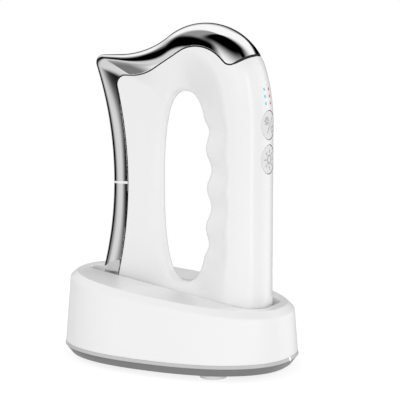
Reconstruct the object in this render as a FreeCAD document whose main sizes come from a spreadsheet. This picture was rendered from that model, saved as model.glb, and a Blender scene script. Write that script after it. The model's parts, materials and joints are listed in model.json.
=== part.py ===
"""Handheld massager with a loop handle, standing in its charging dock.

Millimetres. X runs from the polished front edge (-X) to the back of the handle (+X). Y is the thickness, with the
near side at -Y. Z is up from the table that the dock's feet rest on. The handset is drawn from its own flat sole
and lifted by handset_seat into the dock's well.
"""
import FreeCAD, Part
import math
import os
import re
from FreeCAD import Placement, Rotation, Vector

# Driving dimensions
SIZES = {
    # handset outline seen from the side: corners of a polygon with a radius at each
    "handset_height": 160.0,
    "back_reach": 50.9,
    "heel_radius": 16.0,
    "back_bend_height": 122.2,
    "back_bend_radius": 100.0,
    "crown_corner_x": 34.3,
    "crown_corner_rise": 20.8,
    "crown_radius": 33.0,
    "neck_x": -18.0,
    "neck_height": 143.7,
    "neck_radius": 55.0,
    "tip_x": -50.9,
    "tip_height": 142.7,
    "tip_radius": 4.0,
    "waist_corner_x": -28.6,
    "waist_height": 77.0,
    "waist_radius": 174.0,
    "toe_x": -55.9,
    "toe_radius": 12.0,
    "sole_cut": 2.0,
    # finger hole
    "hole_x": 4.0,
    "hole_height": 75.0,
    "hole_width": 28.0,
    "hole_length": 99.4,
    "hole_squareness": 2.6,
    "finger_pitch": 20.1,
    "finger_depth": 2.8,
    # thickness of the loop body
    "front_thickness": 10.4,
    "thin_line_x": -39.0,
    "back_thickness": 34.0,
    "thick_line_x": 38.0,
    "lip_thickness": 8.0,
    "edge_roundness": 0.84,
    "shell_wall": 2.6,
    "electrode_wall": 1.2,
    "seam_gap": 0.45,
    # edge between the electrodes and the white shells
    "strip_toe_x": -47.6,
    "strip_corner_x": -21.8,
    "strip_height": 77.5,
    "strip_radius": 182.0,
    "brow_x": -36.0,
    "brow_height": 132.2,
    "brow_radius": 4.5,
    "valley_x": -17.7,
    "valley_radius": 33.5,
    "arch_corner_x": 19.4,
    "arch_corner_height": 152.8,
    "arch_radius": 21.0,
    "dip_x": 35.2,
    "dip_height": 137.9,
    "dip_radius": 4.5,
    "cheek_x": 46.4,
    "cheek_height": 145.2,
    "cheek_radius": 8.0,
    "split_height": 75.6,
    "spacer_height": 1.0,
    # buttons and indicator lights on the back of the handle
    "button_diameter": 14.8,
    "button_clearance": 0.2,
    "mode_button_height": 108.7,
    "light_button_height": 91.3,
    "flange_depth": 5.8,
    "flange_thickness": 1.4,
    "flange_rim": 1.1,
    "plunger_diameter": 3.4,
    "plunger_clearance": 0.08,
    "plunger_length": 4.0,
    "light_diameter": 1.8,
    "light_spread": 5.3,
    "light_pitch": 3.55,
    "light_height": 123.2,
    # control board
    "board_x": 38.0,
    "board_width": 20.0,
    "board_thickness": 1.6,
    "board_bottom": 83.5,
    "board_length": 48.0,
    "switch_size": 6.0,
    "switch_height": 3.5,
    "led_size": 1.6,
    "led_height": 1.0,
    "chip_size": 7.0,
    "chip_height": 1.2,
    "rail_depth": 3.2,
    "rail_spacing": 15.0,
    "board_screw_diameter": 2.0,
    "board_screw_head": 3.6,
    "board_screw_head_height": 1.2,
    "board_screw_inset": 3.0,
    # battery
    "battery_x": 34.4,
    "battery_diameter": 16.4,
    "battery_length": 65.0,
    "battery_bottom": 13.0,
    "battery_clearance": 0.1,
    "tab_thickness": 0.4,
    "tab_width": 6.0,
    "rib_thickness": 1.6,
    "rib_inset": 7.0,
    "rib_reach": 11.0,
    # vibration motor in the head
    "motor_x": -2.0,
    "motor_height": 142.0,
    "motor_diameter": 10.0,
    "motor_length": 18.0,
    "sleeve_wall": 1.4,
    "sleeve_length": 12.0,
    "motor_rib_margin": 1.0,
    "shaft_diameter": 1.5,
    "shaft_clearance": 0.05,
    "shaft_length": 11.0,
    "shaft_depth": 6.0,
    "weight_radius": 4.6,
    "weight_length": 6.0,
    "weight_gap": 3.0,
    # contacts and screws in the handset
    "contact_diameter": 2.4,
    "contact_length": 6.5,
    "upper_contact_height": 100.0,
    "lower_contact_height": 50.0,
    "pad_spacing": 14.0,
    "pad_diameter": 5.0,
    "pad_height": 1.2,
    "pad_stem_diameter": 2.4,
    "pad_stem_height": 6.0,
    "shell_screw_diameter": 2.0,
    "shell_screw_head": 3.8,
    "shell_screw_head_height": 1.2,
    "shell_boss_diameter": 5.4,
    "lead_diameter": 1.2,
    "lead_bend": 1.5,
    "lead_clearance": 0.2,
    "lead_spacing": 5.0,
    # dock
    "handset_seat": 17.5,
    "seat_gap": 0.3,
    "dock_length": 128.0,
    "dock_width": 82.0,
    "dock_squareness": 2.34,
    "dock_wall": 2.4,
    "wall_draft": 4.5,
    "deck_height": 31.7,
    "deck_tilt": 6.35,
    "deck_chamfer": 3.2,
    "well_front": 53.7,
    "well_back": 53.4,
    "well_front_width": 9.4,
    "well_back_width": 40.6,
    "well_front_radius": 4.2,
    "well_back_radius": 12.0,
    "well_wall": 2.0,
    "well_floor": 2.4,
    "trim_height": 1.75,
    "trim_flare": 0.4,
    "trim_width": 3.0,
    "base_height": 4.5,
    "base_inset": 3.2,
    "base_floor": 2.0,
    "base_wall": 3.6,
    "foot_height": 2.0,
    "foot_diameter": 14.0,
    "back_foot_x": 32.5,
    "back_foot_y": 26.4,
    "front_foot_x": 38.0,
    "front_foot_y": 18.0,
    "post_diameter": 6.4,
    "dock_screw_diameter": 3.0,
    "dock_screw_head": 5.6,
    "dock_screw_head_height": 1.4,
    "dock_screw_length": 10.0,
    # dock electronics
    "ballast_length": 50.0,
    "ballast_width": 34.0,
    "ballast_height": 3.4,
    "dock_board_length": 30.0,
    "dock_board_reach": 35.0,
    "dock_board_front": 11.0,
    "dock_board_thickness": 1.6,
    "dock_board_screw_x": 11.0,
    "dock_board_screw_y": 24.0,
    "dock_board_screw_diameter": 2.0,
    "dock_board_screw_head": 3.8,
    "dock_board_screw_length": 5.0,
    "dock_led_size": 1.8,
    "dock_led_gap": 0.2,
    "pin_block_length": 24.0,
    "pin_block_width": 9.0,
    "pin_block_height": 5.0,
    "pin_diameter": 1.8,
    "pin_collar_diameter": 2.8,
    "pin_collar_height": 1.2,
    "pin_clearance": 0.06,
    "pin_travel": 0.8,
    "pin_gap": 0.25,
    "spring_wire": 0.3,
    "spring_turns": 4.0,
    "socket_width": 8.9,
    "socket_height": 3.2,
    "socket_length": 7.4,
    "socket_wall": 0.4,
    "socket_clearance": 0.25,
    "indicator_width": 1.2,
    "indicator_y": -2.0,
}
STATIONS = 160
OVAL_POINTS = 48
FAR = 200.0
# shares that shape the section of the loop body, from the finger hole to the outer edge
LIP_FULLNESS = 0.9
SHOULDER_SHARE = 0.10
SHOULDER_FULLNESS = 1.45
SWELL_SHARE = 0.45
SWELL_FULLNESS = 0.85
CREST_FULLNESS = 1.14
EDGE_SQUARENESS = 0.75
ROLL_LIMIT = 0.45

doc = FreeCAD.newDocument("massager")
sheet = doc.addObject("Spreadsheet::Sheet", "dims")
for row, (name, value) in enumerate(SIZES.items(), start=1):
    sheet.set(f"A{row}", name)
    sheet.set(f"B{row}", str(value))
    sheet.setAlias(f"B{row}", name)
doc.recompute()
pieces = []


class Dimension:
    """Reads a driving dimension from the sheet by its name."""

    def __getattr__(self, name):
        return float(sheet.get(name))


size = Dimension()


def bound(text):
    """Expression text in which each plain name is a cell of the sheet."""
    return re.sub(r"[a-z_]{3,}", r"dims.\g<0>", text)


def place(obj, at, axis="Z"):
    """Binds an object's position to the sheet and turns its Z to the named axis."""
    turns = {"Z": Rotation(), "X": Rotation(Vector(0, 1, 0), 90), "-X": Rotation(Vector(0, 1, 0), -90)}
    obj.Placement = Placement(Vector(), turns[axis])
    for letter, text in zip("xyz", at):
        obj.setExpression(f"Placement.Base.{letter}", bound(text))
    return obj


def cylinder(name, diameter, height, at, axis="Z"):
    obj = doc.addObject("Part::Cylinder", name)
    obj.setExpression("Radius", bound(f"({diameter}) / 2"))
    obj.setExpression("Height", bound(height))
    return place(obj, at, axis)


def block(name, length, width, height, at):
    obj = doc.addObject("Part::Box", name)
    obj.setExpression("Length", bound(length))
    obj.setExpression("Width", bound(width))
    obj.setExpression("Height", bound(height))
    return place(obj, at)


def cut(name, base, tools):
    obj = doc.addObject("Part::Cut", name)
    obj.Base = base
    obj.Tool = tools[0] if len(tools) == 1 else join(name + "_cutter", tools)
    return obj


def join(name, members):
    obj = doc.addObject("Part::MultiFuse", name)
    obj.Shapes = members
    return obj


def group(name, members):
    obj = doc.addObject("Part::Compound", name)
    obj.Links = members
    return obj


def piece(label, obj):
    """Names a finished object as a piece that is written out."""
    obj.Label = label
    pieces.append(obj)
    return obj


def free_piece(label, shape, height=0.0):
    """A piece whose shape is worked out here, lifted to its height."""
    obj = doc.addObject("Part::Feature", label)
    obj.Shape = shape
    obj.Placement = Placement(Vector(0, 0, height), Rotation()).multiply(shape.Placement)
    return piece(label, obj)


# Curves
def side(x, z):
    return Vector(x, 0, z)


def plan(x, y):
    return Vector(x, y, 0)


def rounded(corners, point=side, closed=True):
    """Wire of lines and tangent arcs through corners (a, b, radius), each radius limited by its two sides."""
    spots = [point(a, b) for a, b, radius in corners]
    return rounded_path(spots, [radius for a, b, radius in corners], closed)


def rounded_path(spots, radii, closed=False):
    count = len(spots)
    turns = range(count) if closed else range(1, count - 1)
    reach = {}
    for k in turns:
        to_last = (spots[k - 1] - spots[k]).normalize()
        to_next = (spots[(k + 1) % count] - spots[k]).normalize()
        half = to_last.getAngle(to_next) / 2
        reach[k] = radii[k] / math.tan(half)
    edges = []
    ends = {}
    for k in turns:
        last, here, after = spots[k - 1], spots[k], spots[(k + 1) % count]
        length_in = (here - last).Length
        length_out = (after - here).Length
        share_in = length_in / max(length_in, reach[k] + reach.get((k - 1) % count, 0.0))
        share_out = length_out / max(length_out, reach[k] + reach.get((k + 1) % count, 0.0))
        run = reach[k] * min(share_in, share_out) * 0.9999
        to_last = (last - here).normalize()
        to_next = (after - here).normalize()
        half = to_last.getAngle(to_next) / 2
        middle = (to_last + to_next).normalize()
        radius = run * math.tan(half)
        arc_middle = here + middle * (radius / math.sin(half) - radius)
        ends[k] = (here + to_last * run, arc_middle, here + to_next * run)
    order = sorted(ends)
    start = ends[order[-1]][2] if closed else spots[0]
    for k in order:
        begin, middle, finish = ends[k]
        edges.append(Part.makeLine(start, begin))
        edges.append(Part.Arc(begin, middle, finish).toShape())
        start = finish
    if not closed:
        edges.append(Part.makeLine(start, spots[-1]))
    return Part.Wire(edges)


def closed_loop(points):
    """Smooth closed curve through points at even parameters."""
    curve = Part.BSplineCurve()
    marks = [float(k) for k in range(len(points) + 1)]
    curve.interpolate(Points=points, PeriodicFlag=True, Parameters=marks)
    return curve


def bulged(value, power):
    return math.copysign(abs(value) ** power, value)


# Loop body of the handset
def handset_outline():
    return rounded([
        (size.back_reach, -size.sole_cut, size.heel_radius),
        (size.back_reach, size.back_bend_height, size.back_bend_radius),
        (size.crown_corner_x, size.handset_height + size.crown_corner_rise, size.crown_radius),
        (size.neck_x, size.neck_height, size.neck_radius),
        (size.tip_x, size.tip_height, size.tip_radius),
        (size.waist_corner_x, size.waist_height, size.waist_radius),
        (size.toe_x, -size.sole_cut, size.toe_radius),
    ])


def finger_wave(height):
    """How far the hole reaches into the handle at a height: three bumps between four finger seats."""
    turns = (height - size.hole_height) / size.finger_pitch
    fade = min(1.0, max(0.0, (2.0 - abs(turns)) * 2.0))
    return -size.finger_depth / 2 * math.cos(2 * math.pi * turns) * fade * fade * (3 - 2 * fade)


def hole_points(outer):
    """Point of the finger hole's edge that faces each point of the outer edge."""
    middle = side(size.hole_x, size.hole_height)
    half_width = size.hole_width / 2
    half_length = size.hole_length / 2
    ellipse = Part.Ellipse(middle + Vector(0, 0, half_length), middle + Vector(half_width, 0, 0), middle)
    power = 2 / size.hole_squareness
    points = []
    for spot in outer:
        facing = ellipse.value(ellipse.parameter(spot)) - middle
        x = size.hole_x + half_width * bulged(facing.x / half_width, power)
        z = size.hole_height + half_length * bulged(facing.z / half_length, power)
        if facing.x > 0:
            x += finger_wave(z)
        points.append(side(x, z))
    return points


def half_thickness(x):
    slope = (size.back_thickness - size.front_thickness) / 2 / (size.thick_line_x - size.thin_line_x)
    return size.front_thickness / 2 + slope * (x - size.thin_line_x)


def half_body(inset):
    """Near half of the loop body, drawn in from its surface by the inset, as one smooth skin and a flat face."""
    outer = handset_outline().discretize(Number=STATIONS + 1)[:-1]
    inner = hole_points(outer)
    lip = size.lip_thickness / 2 - inset
    sections = []
    for k, (rim, hole) in enumerate(zip(outer, inner)):
        along = outer[(k + 1) % STATIONS] - outer[k - 1]
        inward = Vector(along.z, 0, -along.x).normalize()
        if inward.dot(hole - rim) < 0:
            inward = -inward
        edge = rim + inward * inset
        out = (rim - hole).normalize()
        start = hole + out * inset
        span = (edge - start).Length
        out = (edge - start).normalize()
        thick = half_thickness(rim.x - out.x * size.edge_roundness * half_thickness(rim.x))
        thick = thick - inset
        roll = min(size.edge_roundness * thick, span * ROLL_LIMIT)
        profile = [
            (0.0, 0.0),
            (0.0, lip * LIP_FULLNESS),
            (span * SHOULDER_SHARE, lip * SHOULDER_FULLNESS),
            (span * SWELL_SHARE, lip + (thick - lip) * SWELL_FULLNESS),
            (span - roll, thick * CREST_FULLNESS),
            (span, thick * EDGE_SQUARENESS),
            (span, 0.0),
        ]
        sections.append([start + out * far + Vector(0, -up, 0) for far, up in profile])
    loops = [closed_loop(list(row)) for row in zip(*sections)]
    poles = [list(row) for row in zip(*[loop.getPoles() for loop in loops])]
    across = len(loops)
    surface = Part.BSplineSurface()
    surface.buildFromPolesMultsKnots(
        poles, loops[0].getMultiplicities(), [4] + [1] * (across - 4) + [4],
        loops[0].getKnots(), [float(k) for k in range(across - 2)], True, False, 3, 3)
    first, last = surface.bounds()[2:]
    rim_face = Part.Face(Part.Wire([surface.vIso(last).toShape()]))
    hole_face = Part.Face(Part.Wire([surface.vIso(first).toShape()]))
    shell = Part.Shell([surface.toShape()] + rim_face.cut(hole_face).Faces)
    shell.sewShape()
    solid = Part.Solid(shell)
    if solid.Volume < 0:
        solid.reverse()
    below = Part.makeBox(2 * FAR, 2 * FAR, FAR, Vector(-FAR, -FAR, inset - FAR))
    return solid.cut(below)


def mirrored(shape):
    return shape.mirror(Vector(0, 0, 0), Vector(0, 1, 0))


def electrode_region(gap):
    """Slab over the front edge and the head, up to the line where the white shells begin."""
    wire = rounded([
        (size.strip_toe_x, -FAR / 8, 0.01),
        (size.strip_corner_x, size.strip_height, size.strip_radius),
        (size.brow_x, size.brow_height, size.brow_radius),
        (size.valley_x, size.brow_height, size.valley_radius),
        (size.arch_corner_x, size.arch_corner_height, size.arch_radius),
        (size.dip_x, size.dip_height, size.dip_radius),
        (size.cheek_x, size.cheek_height, size.cheek_radius),
        (FAR, size.cheek_height, 0.01),
        (FAR, FAR + size.handset_height, 0.01),
        (-FAR, FAR + size.handset_height, 0.01),
        (-FAR, -FAR / 8, 0.01),
    ])
    face = Part.Face(wire)
    if gap > 0:
        face = face.makeOffset2D(-gap)
    return face.extrude(Vector(0, FAR, 0)).translated(Vector(0, -FAR / 2, 0))


def band(low, high):
    return Part.makeBox(2 * FAR, 2 * FAR, high - low, Vector(-FAR, -FAR, low))


def rod(diameter, start, finish):
    return Part.makeCylinder(diameter / 2, (finish - start).Length, start, finish - start)


body = half_body(0.0)
under_electrode = half_body(size.electrode_wall)
hollow = half_body(size.shell_wall)
rib_limit = half_body(size.shell_wall / 2)
board_front = size.board_x
board_back = size.board_x - size.board_thickness
SCREW_SPOTS = [(-40.0, 136.0), (22.0, 153.5), (-33.5, 110.0), (-34.5, 42.0)]


def depth_at(solid, x, z):
    """Half thickness of a half body at one place."""
    line = Part.makeLine(Vector(x, -FAR, z), Vector(x, 0, z))
    return line.common(solid).Length


def box_between(low, high):
    return Part.makeBox(high.x - low.x, high.y - low.y, high.z - low.z, low)


def shell_ribs():
    """Rails for the board, ribs for the battery and the motor, and screw bosses of the near half."""
    ribs = []
    battery_top = size.battery_bottom + size.battery_length
    board_top = size.board_bottom + size.board_length
    rail_y = size.rail_spacing / 2
    ribs.append(box_between(Vector(board_back - size.rail_depth, -FAR / 4, size.board_bottom),
                            Vector(board_back, -rail_y, board_top)))
    left = size.battery_x - size.rib_reach
    right = size.battery_x + size.rib_reach
    plates = [size.battery_bottom - size.tab_thickness - size.rib_thickness,
              size.battery_bottom + size.rib_inset,
              size.battery_bottom + size.battery_length / 2,
              battery_top - size.rib_inset,
              battery_top + size.tab_thickness]
    for low in plates:
        ribs.append(box_between(Vector(left, -FAR / 4, low), Vector(right, 0, low + size.rib_thickness)))
    sleeve = size.motor_diameter / 2 + size.sleeve_wall
    reach = sleeve + size.motor_rib_margin
    first = size.motor_x + (size.motor_length - size.sleeve_length) / 2
    for x in (first, first + size.sleeve_length - size.rib_thickness):
        ribs.append(box_between(Vector(x, -FAR / 4, size.motor_height - reach),
                                Vector(x + size.rib_thickness, 0, size.motor_height + reach)))
    solid = ribs[0].multiFuse(ribs[1:])
    cell = rod(size.battery_diameter + 2 * size.battery_clearance,
               side(size.battery_x, size.battery_bottom - size.tab_thickness),
               side(size.battery_x, battery_top + size.tab_thickness))
    sleeve_space = rod(2 * sleeve, side(-FAR, size.motor_height), side(FAR, size.motor_height))
    solid = solid.cut(cell).cut(sleeve_space).common(rib_limit)
    bosses = [rod(size.shell_boss_diameter, Vector(x, -FAR / 4, z), side(x, z)) for x, z in SCREW_SPOTS]
    return solid.multiFuse([boss.common(under_electrode) for boss in bosses])


def lead_routes():
    """Corner points of each lead in the handset, one route after another."""
    apart = size.lead_spacing / 2
    motor_back = size.motor_x
    motor_top = size.motor_height + size.motor_diameter / 2 + size.sleeve_wall + size.lead_diameter
    behind_weight = size.motor_x + size.motor_length + size.shaft_length + 2 * size.lead_diameter
    board_top = size.board_bottom + size.board_length
    battery_top = size.battery_bottom + size.battery_length
    battery_front = size.battery_x - size.battery_diameter / 2
    battery_back = size.battery_x + size.battery_diameter / 2
    over_battery = (battery_top + size.tab_thickness + size.rib_thickness + size.board_bottom) / 2
    behind_battery = battery_back + 2 * size.lead_diameter
    before_board = board_back - 3 * size.lead_diameter
    under_battery = size.pad_stem_height + 2 * size.lead_diameter
    low_join = size.board_bottom + 4 * size.lead_diameter
    over_hole = size.hole_height + size.hole_length / 2 + size.shell_wall + 3 * size.lead_diameter
    under_hole = size.hole_height - size.hole_length / 2 - size.shell_wall - 4 * size.lead_diameter
    routes = []
    for y in (-apart, apart):
        routes.append([
            Vector(motor_back, y, size.motor_height),
            Vector(motor_back - 3 * size.lead_diameter, y, size.motor_height),
            Vector(motor_back - 3 * size.lead_diameter, y, motor_top),
            Vector(behind_weight, y, motor_top),
            Vector(behind_weight, y, board_top - 4 * size.lead_diameter),
            Vector(board_back, y, board_top - 4 * size.lead_diameter)])
    for x, y in zip(pad_places(), (-apart, apart)):
        routes.append([
            Vector(x, 0, size.pad_stem_height),
            Vector(x, 0, under_battery),
            Vector(x, y, under_battery),
            Vector(behind_battery, y, under_battery),
            Vector(behind_battery, y, over_battery),
            Vector(before_board, y, over_battery),
            Vector(before_board, y, low_join),
            Vector(board_back, y, low_join)])
    tab_low = size.battery_bottom - size.lead_diameter / 2
    tab_high = battery_top + size.lead_diameter / 2
    routes.append([
        side(battery_back, tab_low), side(behind_battery, tab_low), side(behind_battery, over_battery),
        side(before_board, over_battery), side(before_board, low_join), side(board_back, low_join)])
    off_tab = -size.tab_width / 2 - 2 * size.lead_diameter
    routes.append([
        Vector(size.battery_x - apart, -size.tab_width / 2, tab_high),
        Vector(size.battery_x - apart, off_tab, tab_high),
        Vector(size.battery_x - apart, off_tab, low_join + 3 * size.lead_diameter),
        Vector(board_back, off_tab, low_join + 3 * size.lead_diameter)])
    high = contact_end(size.upper_contact_height)
    low = contact_end(size.lower_contact_height)
    routes.append([
        side(high, size.upper_contact_height), side(high + 4 * size.lead_diameter, size.upper_contact_height),
        side(high + 4 * size.lead_diameter, over_hole), side(behind_weight, over_hole),
        side(behind_weight, board_top - 7 * size.lead_diameter), side(board_back, board_top - 7 * size.lead_diameter)])
    routes.append([
        side(low, size.lower_contact_height), side(low + 4 * size.lead_diameter, size.lower_contact_height),
        side(low + 4 * size.lead_diameter, under_hole), side(battery_front - size.lead_diameter, under_hole),
        side(battery_front - size.lead_diameter, low_join + 3 * size.lead_diameter),
        side(board_back, low_join + 3 * size.lead_diameter)])
    return routes


def tube(spots, diameter, bend):
    """Round tube along straight runs joined by tangent bends."""
    path = rounded_path(spots, [bend] * len(spots))
    ring = Part.Wire([Part.makeCircle(diameter / 2, spots[0], spots[1] - spots[0])])
    return path.makePipeShell([ring], True, False)


def build_leads():
    tubes = [tube(spots, size.lead_diameter, size.lead_bend) for spots in lead_routes()]
    free_piece("handset_leads", Part.makeCompound(tubes), size.handset_seat)


def board_screw_spots():
    low = size.board_bottom + size.board_screw_inset
    high = size.board_bottom + size.board_length - size.board_screw_inset
    y = (size.rail_spacing + size.board_width) / 4
    return [(y * way, z) for way in (-1, 1) for z in (low, high)]


def back_openings():
    """Holes through the back wall for the buttons and the lights, and into it for contacts, pads and screws."""
    holes = []
    for z in (size.mode_button_height, size.light_button_height):
        holes.append(rod(size.button_diameter + 2 * size.button_clearance,
                         side(size.thick_line_x, z), side(FAR, z)))
    for y, z in light_spots():
        holes.append(rod(size.light_diameter, Vector(board_front, y, z), Vector(FAR, y, z)))
    for z in (size.upper_contact_height, size.lower_contact_height):
        holes.append(rod(size.contact_diameter, side(-FAR, z), side(contact_end(z), z)))
    for x in pad_places():
        holes.append(rod(size.pad_diameter, side(x, -size.pad_height), side(x, size.pad_height)))
        holes.append(rod(size.pad_stem_diameter, side(x, 0), side(x, size.pad_stem_height)))
    for y, z in board_screw_spots():
        holes.append(rod(size.board_screw_diameter, Vector(board_back - size.rail_depth, y, z),
                         Vector(board_front, y, z)))
    return holes[0].multiFuse(holes[1:])


def light_spots():
    return [(size.light_spread / 2 * way, size.light_height + size.light_pitch * step)
            for way in (-1, 1) for step in (-1, 0, 1)]


def contact_start(z):
    """Where the inside of the electrode meets the middle plane at a height."""
    line = Part.makeLine(side(-FAR, z), side(size.hole_x - size.hole_width / 2, z))
    return line.common(under_electrode).BoundBox.XMin


def contact_end(z):
    return contact_start(z) + size.contact_length


def pad_places():
    return [size.hole_x - size.pad_spacing / 2, size.hole_x + size.pad_spacing / 2]


def screw_seat(x, z):
    """Depth of the face that a shell screw's head rests on, with the whole head under the electrode."""
    reach = size.shell_screw_head / 2
    ring = [(x + reach * math.cos(turn), z + reach * math.sin(turn)) for turn in range(7)]
    return min(depth_at(under_electrode, *spot) for spot in ring) - 2 * size.shell_screw_head_height


def build_shells():
    layer = body.common(electrode_region(0.0)).cut(under_electrode)
    blank = body.cut(layer).cut(hollow).fuse(shell_ribs())
    openings = back_openings()
    wide = size.lead_diameter + 2 * size.lead_clearance
    passages = [tube(spots, wide, size.lead_bend) for spots in lead_routes()]
    openings = openings.multiFuse(passages)
    near_holes = []
    far_holes = []
    for x, z in SCREW_SPOTS:
        seat = screw_seat(x, z)
        near_holes.append(rod(size.shell_screw_head, Vector(x, -FAR / 4, z), Vector(x, -seat, z)))
        near_holes.append(rod(size.shell_screw_diameter, Vector(x, -FAR / 4, z), side(x, z)))
        far_holes.append(rod(size.shell_screw_diameter, side(x, z), Vector(x, seat, z)))
    near = blank.cut(openings.multiFuse(near_holes)).removeSplitter()
    far = mirrored(blank).cut(openings.multiFuse(far_holes)).removeSplitter()
    free_piece("near_shell", near, size.handset_seat)
    free_piece("far_shell", far, size.handset_seat)


def build_electrodes():
    half = body.common(electrode_region(size.seam_gap)).cut(under_electrode)
    whole = half.fuse(mirrored(half))
    low = size.split_height - size.spacer_height / 2
    high = size.split_height + size.spacer_height / 2
    free_piece("head_electrode", whole.common(band(high, FAR + high)), size.handset_seat)
    free_piece("front_electrode", whole.common(band(low - FAR, low)), size.handset_seat)
    free_piece("electrode_spacer", whole.common(band(low, high)), size.handset_seat)


def build_shell_screws():
    screws = []
    for x, z in SCREW_SPOTS:
        seat = screw_seat(x, z)
        head = rod(size.shell_screw_head, Vector(x, -seat - size.shell_screw_head_height, z), Vector(x, -seat, z))
        screws.append(head.fuse(rod(size.shell_screw_diameter, Vector(x, -seat, z), Vector(x, seat, z))))
    free_piece("shell_screws", Part.makeCompound(screws), size.handset_seat)


def build_buttons():
    flange_front = size.back_reach - size.flange_depth
    flange_back = flange_front - size.flange_thickness
    whole = body.fuse(mirrored(body))
    for name, z in (("mode", size.mode_button_height), ("light", size.light_button_height)):
        cap = rod(size.button_diameter, side(flange_front, z), side(FAR, z)).common(whole)
        flange = rod(size.button_diameter + 2 * size.flange_rim, side(flange_back, z), side(flange_front, z))
        free_piece(f"{name}_button", cap.fuse(flange).removeSplitter(), size.handset_seat)
        cylinder_name = f"{name}_plunger"
        piece(cylinder_name, cylinder(cylinder_name, "plunger_diameter", "plunger_length", (
            "back_reach - flange_depth - flange_thickness - plunger_length", "0",
            f"handset_seat + {name}_button_height"), "X"))


def build_lights():
    whole = body.fuse(mirrored(body))
    tips = {"blue": [], "red": []}
    for y, z in light_spots():
        start = board_front + size.led_height
        pipe = rod(size.light_diameter, Vector(start, y, z), Vector(FAR, y, z)).common(whole)
        tips["blue" if y < 0 else "red"].append(pipe)
    for colour, pipes in tips.items():
        free_piece(f"{colour}_indicators", Part.makeCompound(pipes), size.handset_seat)
    leds = []
    for k, (y, z) in enumerate(light_spots()):
        side_way = "-" if y < 0 else ""
        step = (-1, 0, 1)[k % 3]
        leds.append(block(f"led_{k}", "led_height", "led_size", "led_size", (
            "board_x", f"{side_way}light_spread / 2 - led_size / 2",
            f"handset_seat + light_height + ({step}) * light_pitch - led_size / 2")))
    piece("indicator_leds", group("indicator_leds", leds))


def build_board():
    board = block("board_blank", "board_thickness", "board_width", "board_length", (
        "board_x - board_thickness", "-board_width / 2", "handset_seat + board_bottom"))
    holes = []
    screws = []
    for k, (way, end) in enumerate([(-1, 0), (-1, 1), (1, 0), (1, 1)]):
        y = f"({way}) * (rail_spacing + board_width) / 4"
        inset = "board_screw_inset" if end == 0 else "board_length - board_screw_inset"
        z = f"handset_seat + board_bottom + {inset}"
        holes.append(cylinder(f"board_hole_{k}", "board_screw_diameter", "board_thickness", (
            "board_x - board_thickness", y, z), "X"))
        shank = cylinder(f"board_shank_{k}", "board_screw_diameter", "board_thickness + rail_depth", (
            "board_x - board_thickness - rail_depth", y, z), "X")
        head = cylinder(f"board_head_{k}", "board_screw_head", "board_screw_head_height", ("board_x", y, z), "X")
        screws.append(join(f"board_screw_{k}", [shank, head]))
    piece("control_board", cut("control_board", board, holes))
    piece("board_screws", group("board_screws", screws))
    switches = []
    for name in ("mode", "light"):
        z = f"handset_seat + {name}_button_height"
        case = block(f"{name}_switch_case", "switch_height", "switch_size", "switch_size", (
            "board_x", "-switch_size / 2", f"{z} - switch_size / 2"))
        bore = cylinder(f"{name}_switch_bore", "plunger_diameter + 2 * plunger_clearance", "switch_height * 0.8", (
            "board_x + switch_height * 0.2", "0", z), "X")
        switches.append(cut(f"{name}_switch", case, [bore]))
    piece("button_switches", group("button_switches", switches))
    chips = []
    for k, share in enumerate((0.3, 0.62)):
        chips.append(block(f"chip_{k}", "chip_height", "chip_size", "chip_size", (
            "board_x - board_thickness - chip_height", "-chip_size / 2",
            f"handset_seat + board_bottom + board_length * {share} - chip_size / 2")))
    piece("board_chips", group("board_chips", chips))


def build_battery():
    piece("battery_cell", cylinder("battery_cell", "battery_diameter", "battery_length", (
        "battery_x", "0", "handset_seat + battery_bottom")))
    tabs = []
    for end, z in (("lower", "battery_bottom - tab_thickness"), ("upper", "battery_bottom + battery_length")):
        tabs.append(block(f"{end}_tab", "battery_diameter", "tab_width", "tab_thickness", (
            "battery_x - battery_diameter / 2", "-tab_width / 2", f"handset_seat + {z}")))
    piece("battery_tabs", group("battery_tabs", tabs))


def build_motor():
    height = "handset_seat + motor_height"
    can = cylinder("motor_can", "motor_diameter", "motor_length", ("motor_x", "0", height), "X")
    bore = cylinder("motor_bore", "shaft_diameter + 2 * shaft_clearance", "shaft_depth + 1", (
        "motor_x + motor_length - shaft_depth - 0.5", "0", height), "X")
    piece("vibration_motor", cut("vibration_motor", can, [bore]))
    outer = cylinder("sleeve_outer", "motor_diameter + 2 * sleeve_wall", "sleeve_length", (
        "motor_x + (motor_length - sleeve_length) / 2", "0", height), "X")
    inner = cylinder("sleeve_inner", "motor_diameter", "sleeve_length", (
        "motor_x + (motor_length - sleeve_length) / 2", "0", height), "X")
    piece("motor_sleeve", cut("motor_sleeve", outer, [inner]))
    piece("motor_shaft", cylinder("motor_shaft", "shaft_diameter", "shaft_length + shaft_depth", (
        "motor_x + motor_length - shaft_depth", "0", height), "X"))
    disc = cylinder("weight_disc", "2 * weight_radius", "weight_length", (
        "motor_x + motor_length + weight_gap", "0", height), "X")
    off = block("weight_off", "weight_length", "2 * weight_radius", "weight_radius", (
        "motor_x + motor_length + weight_gap", "-weight_radius", f"{height} + shaft_diameter"))
    hole = cylinder("weight_hole", "shaft_diameter", "weight_length", (
        "motor_x + motor_length + weight_gap", "0", height), "X")
    piece("motor_weight", cut("motor_weight", disc, [off, hole]))


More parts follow.
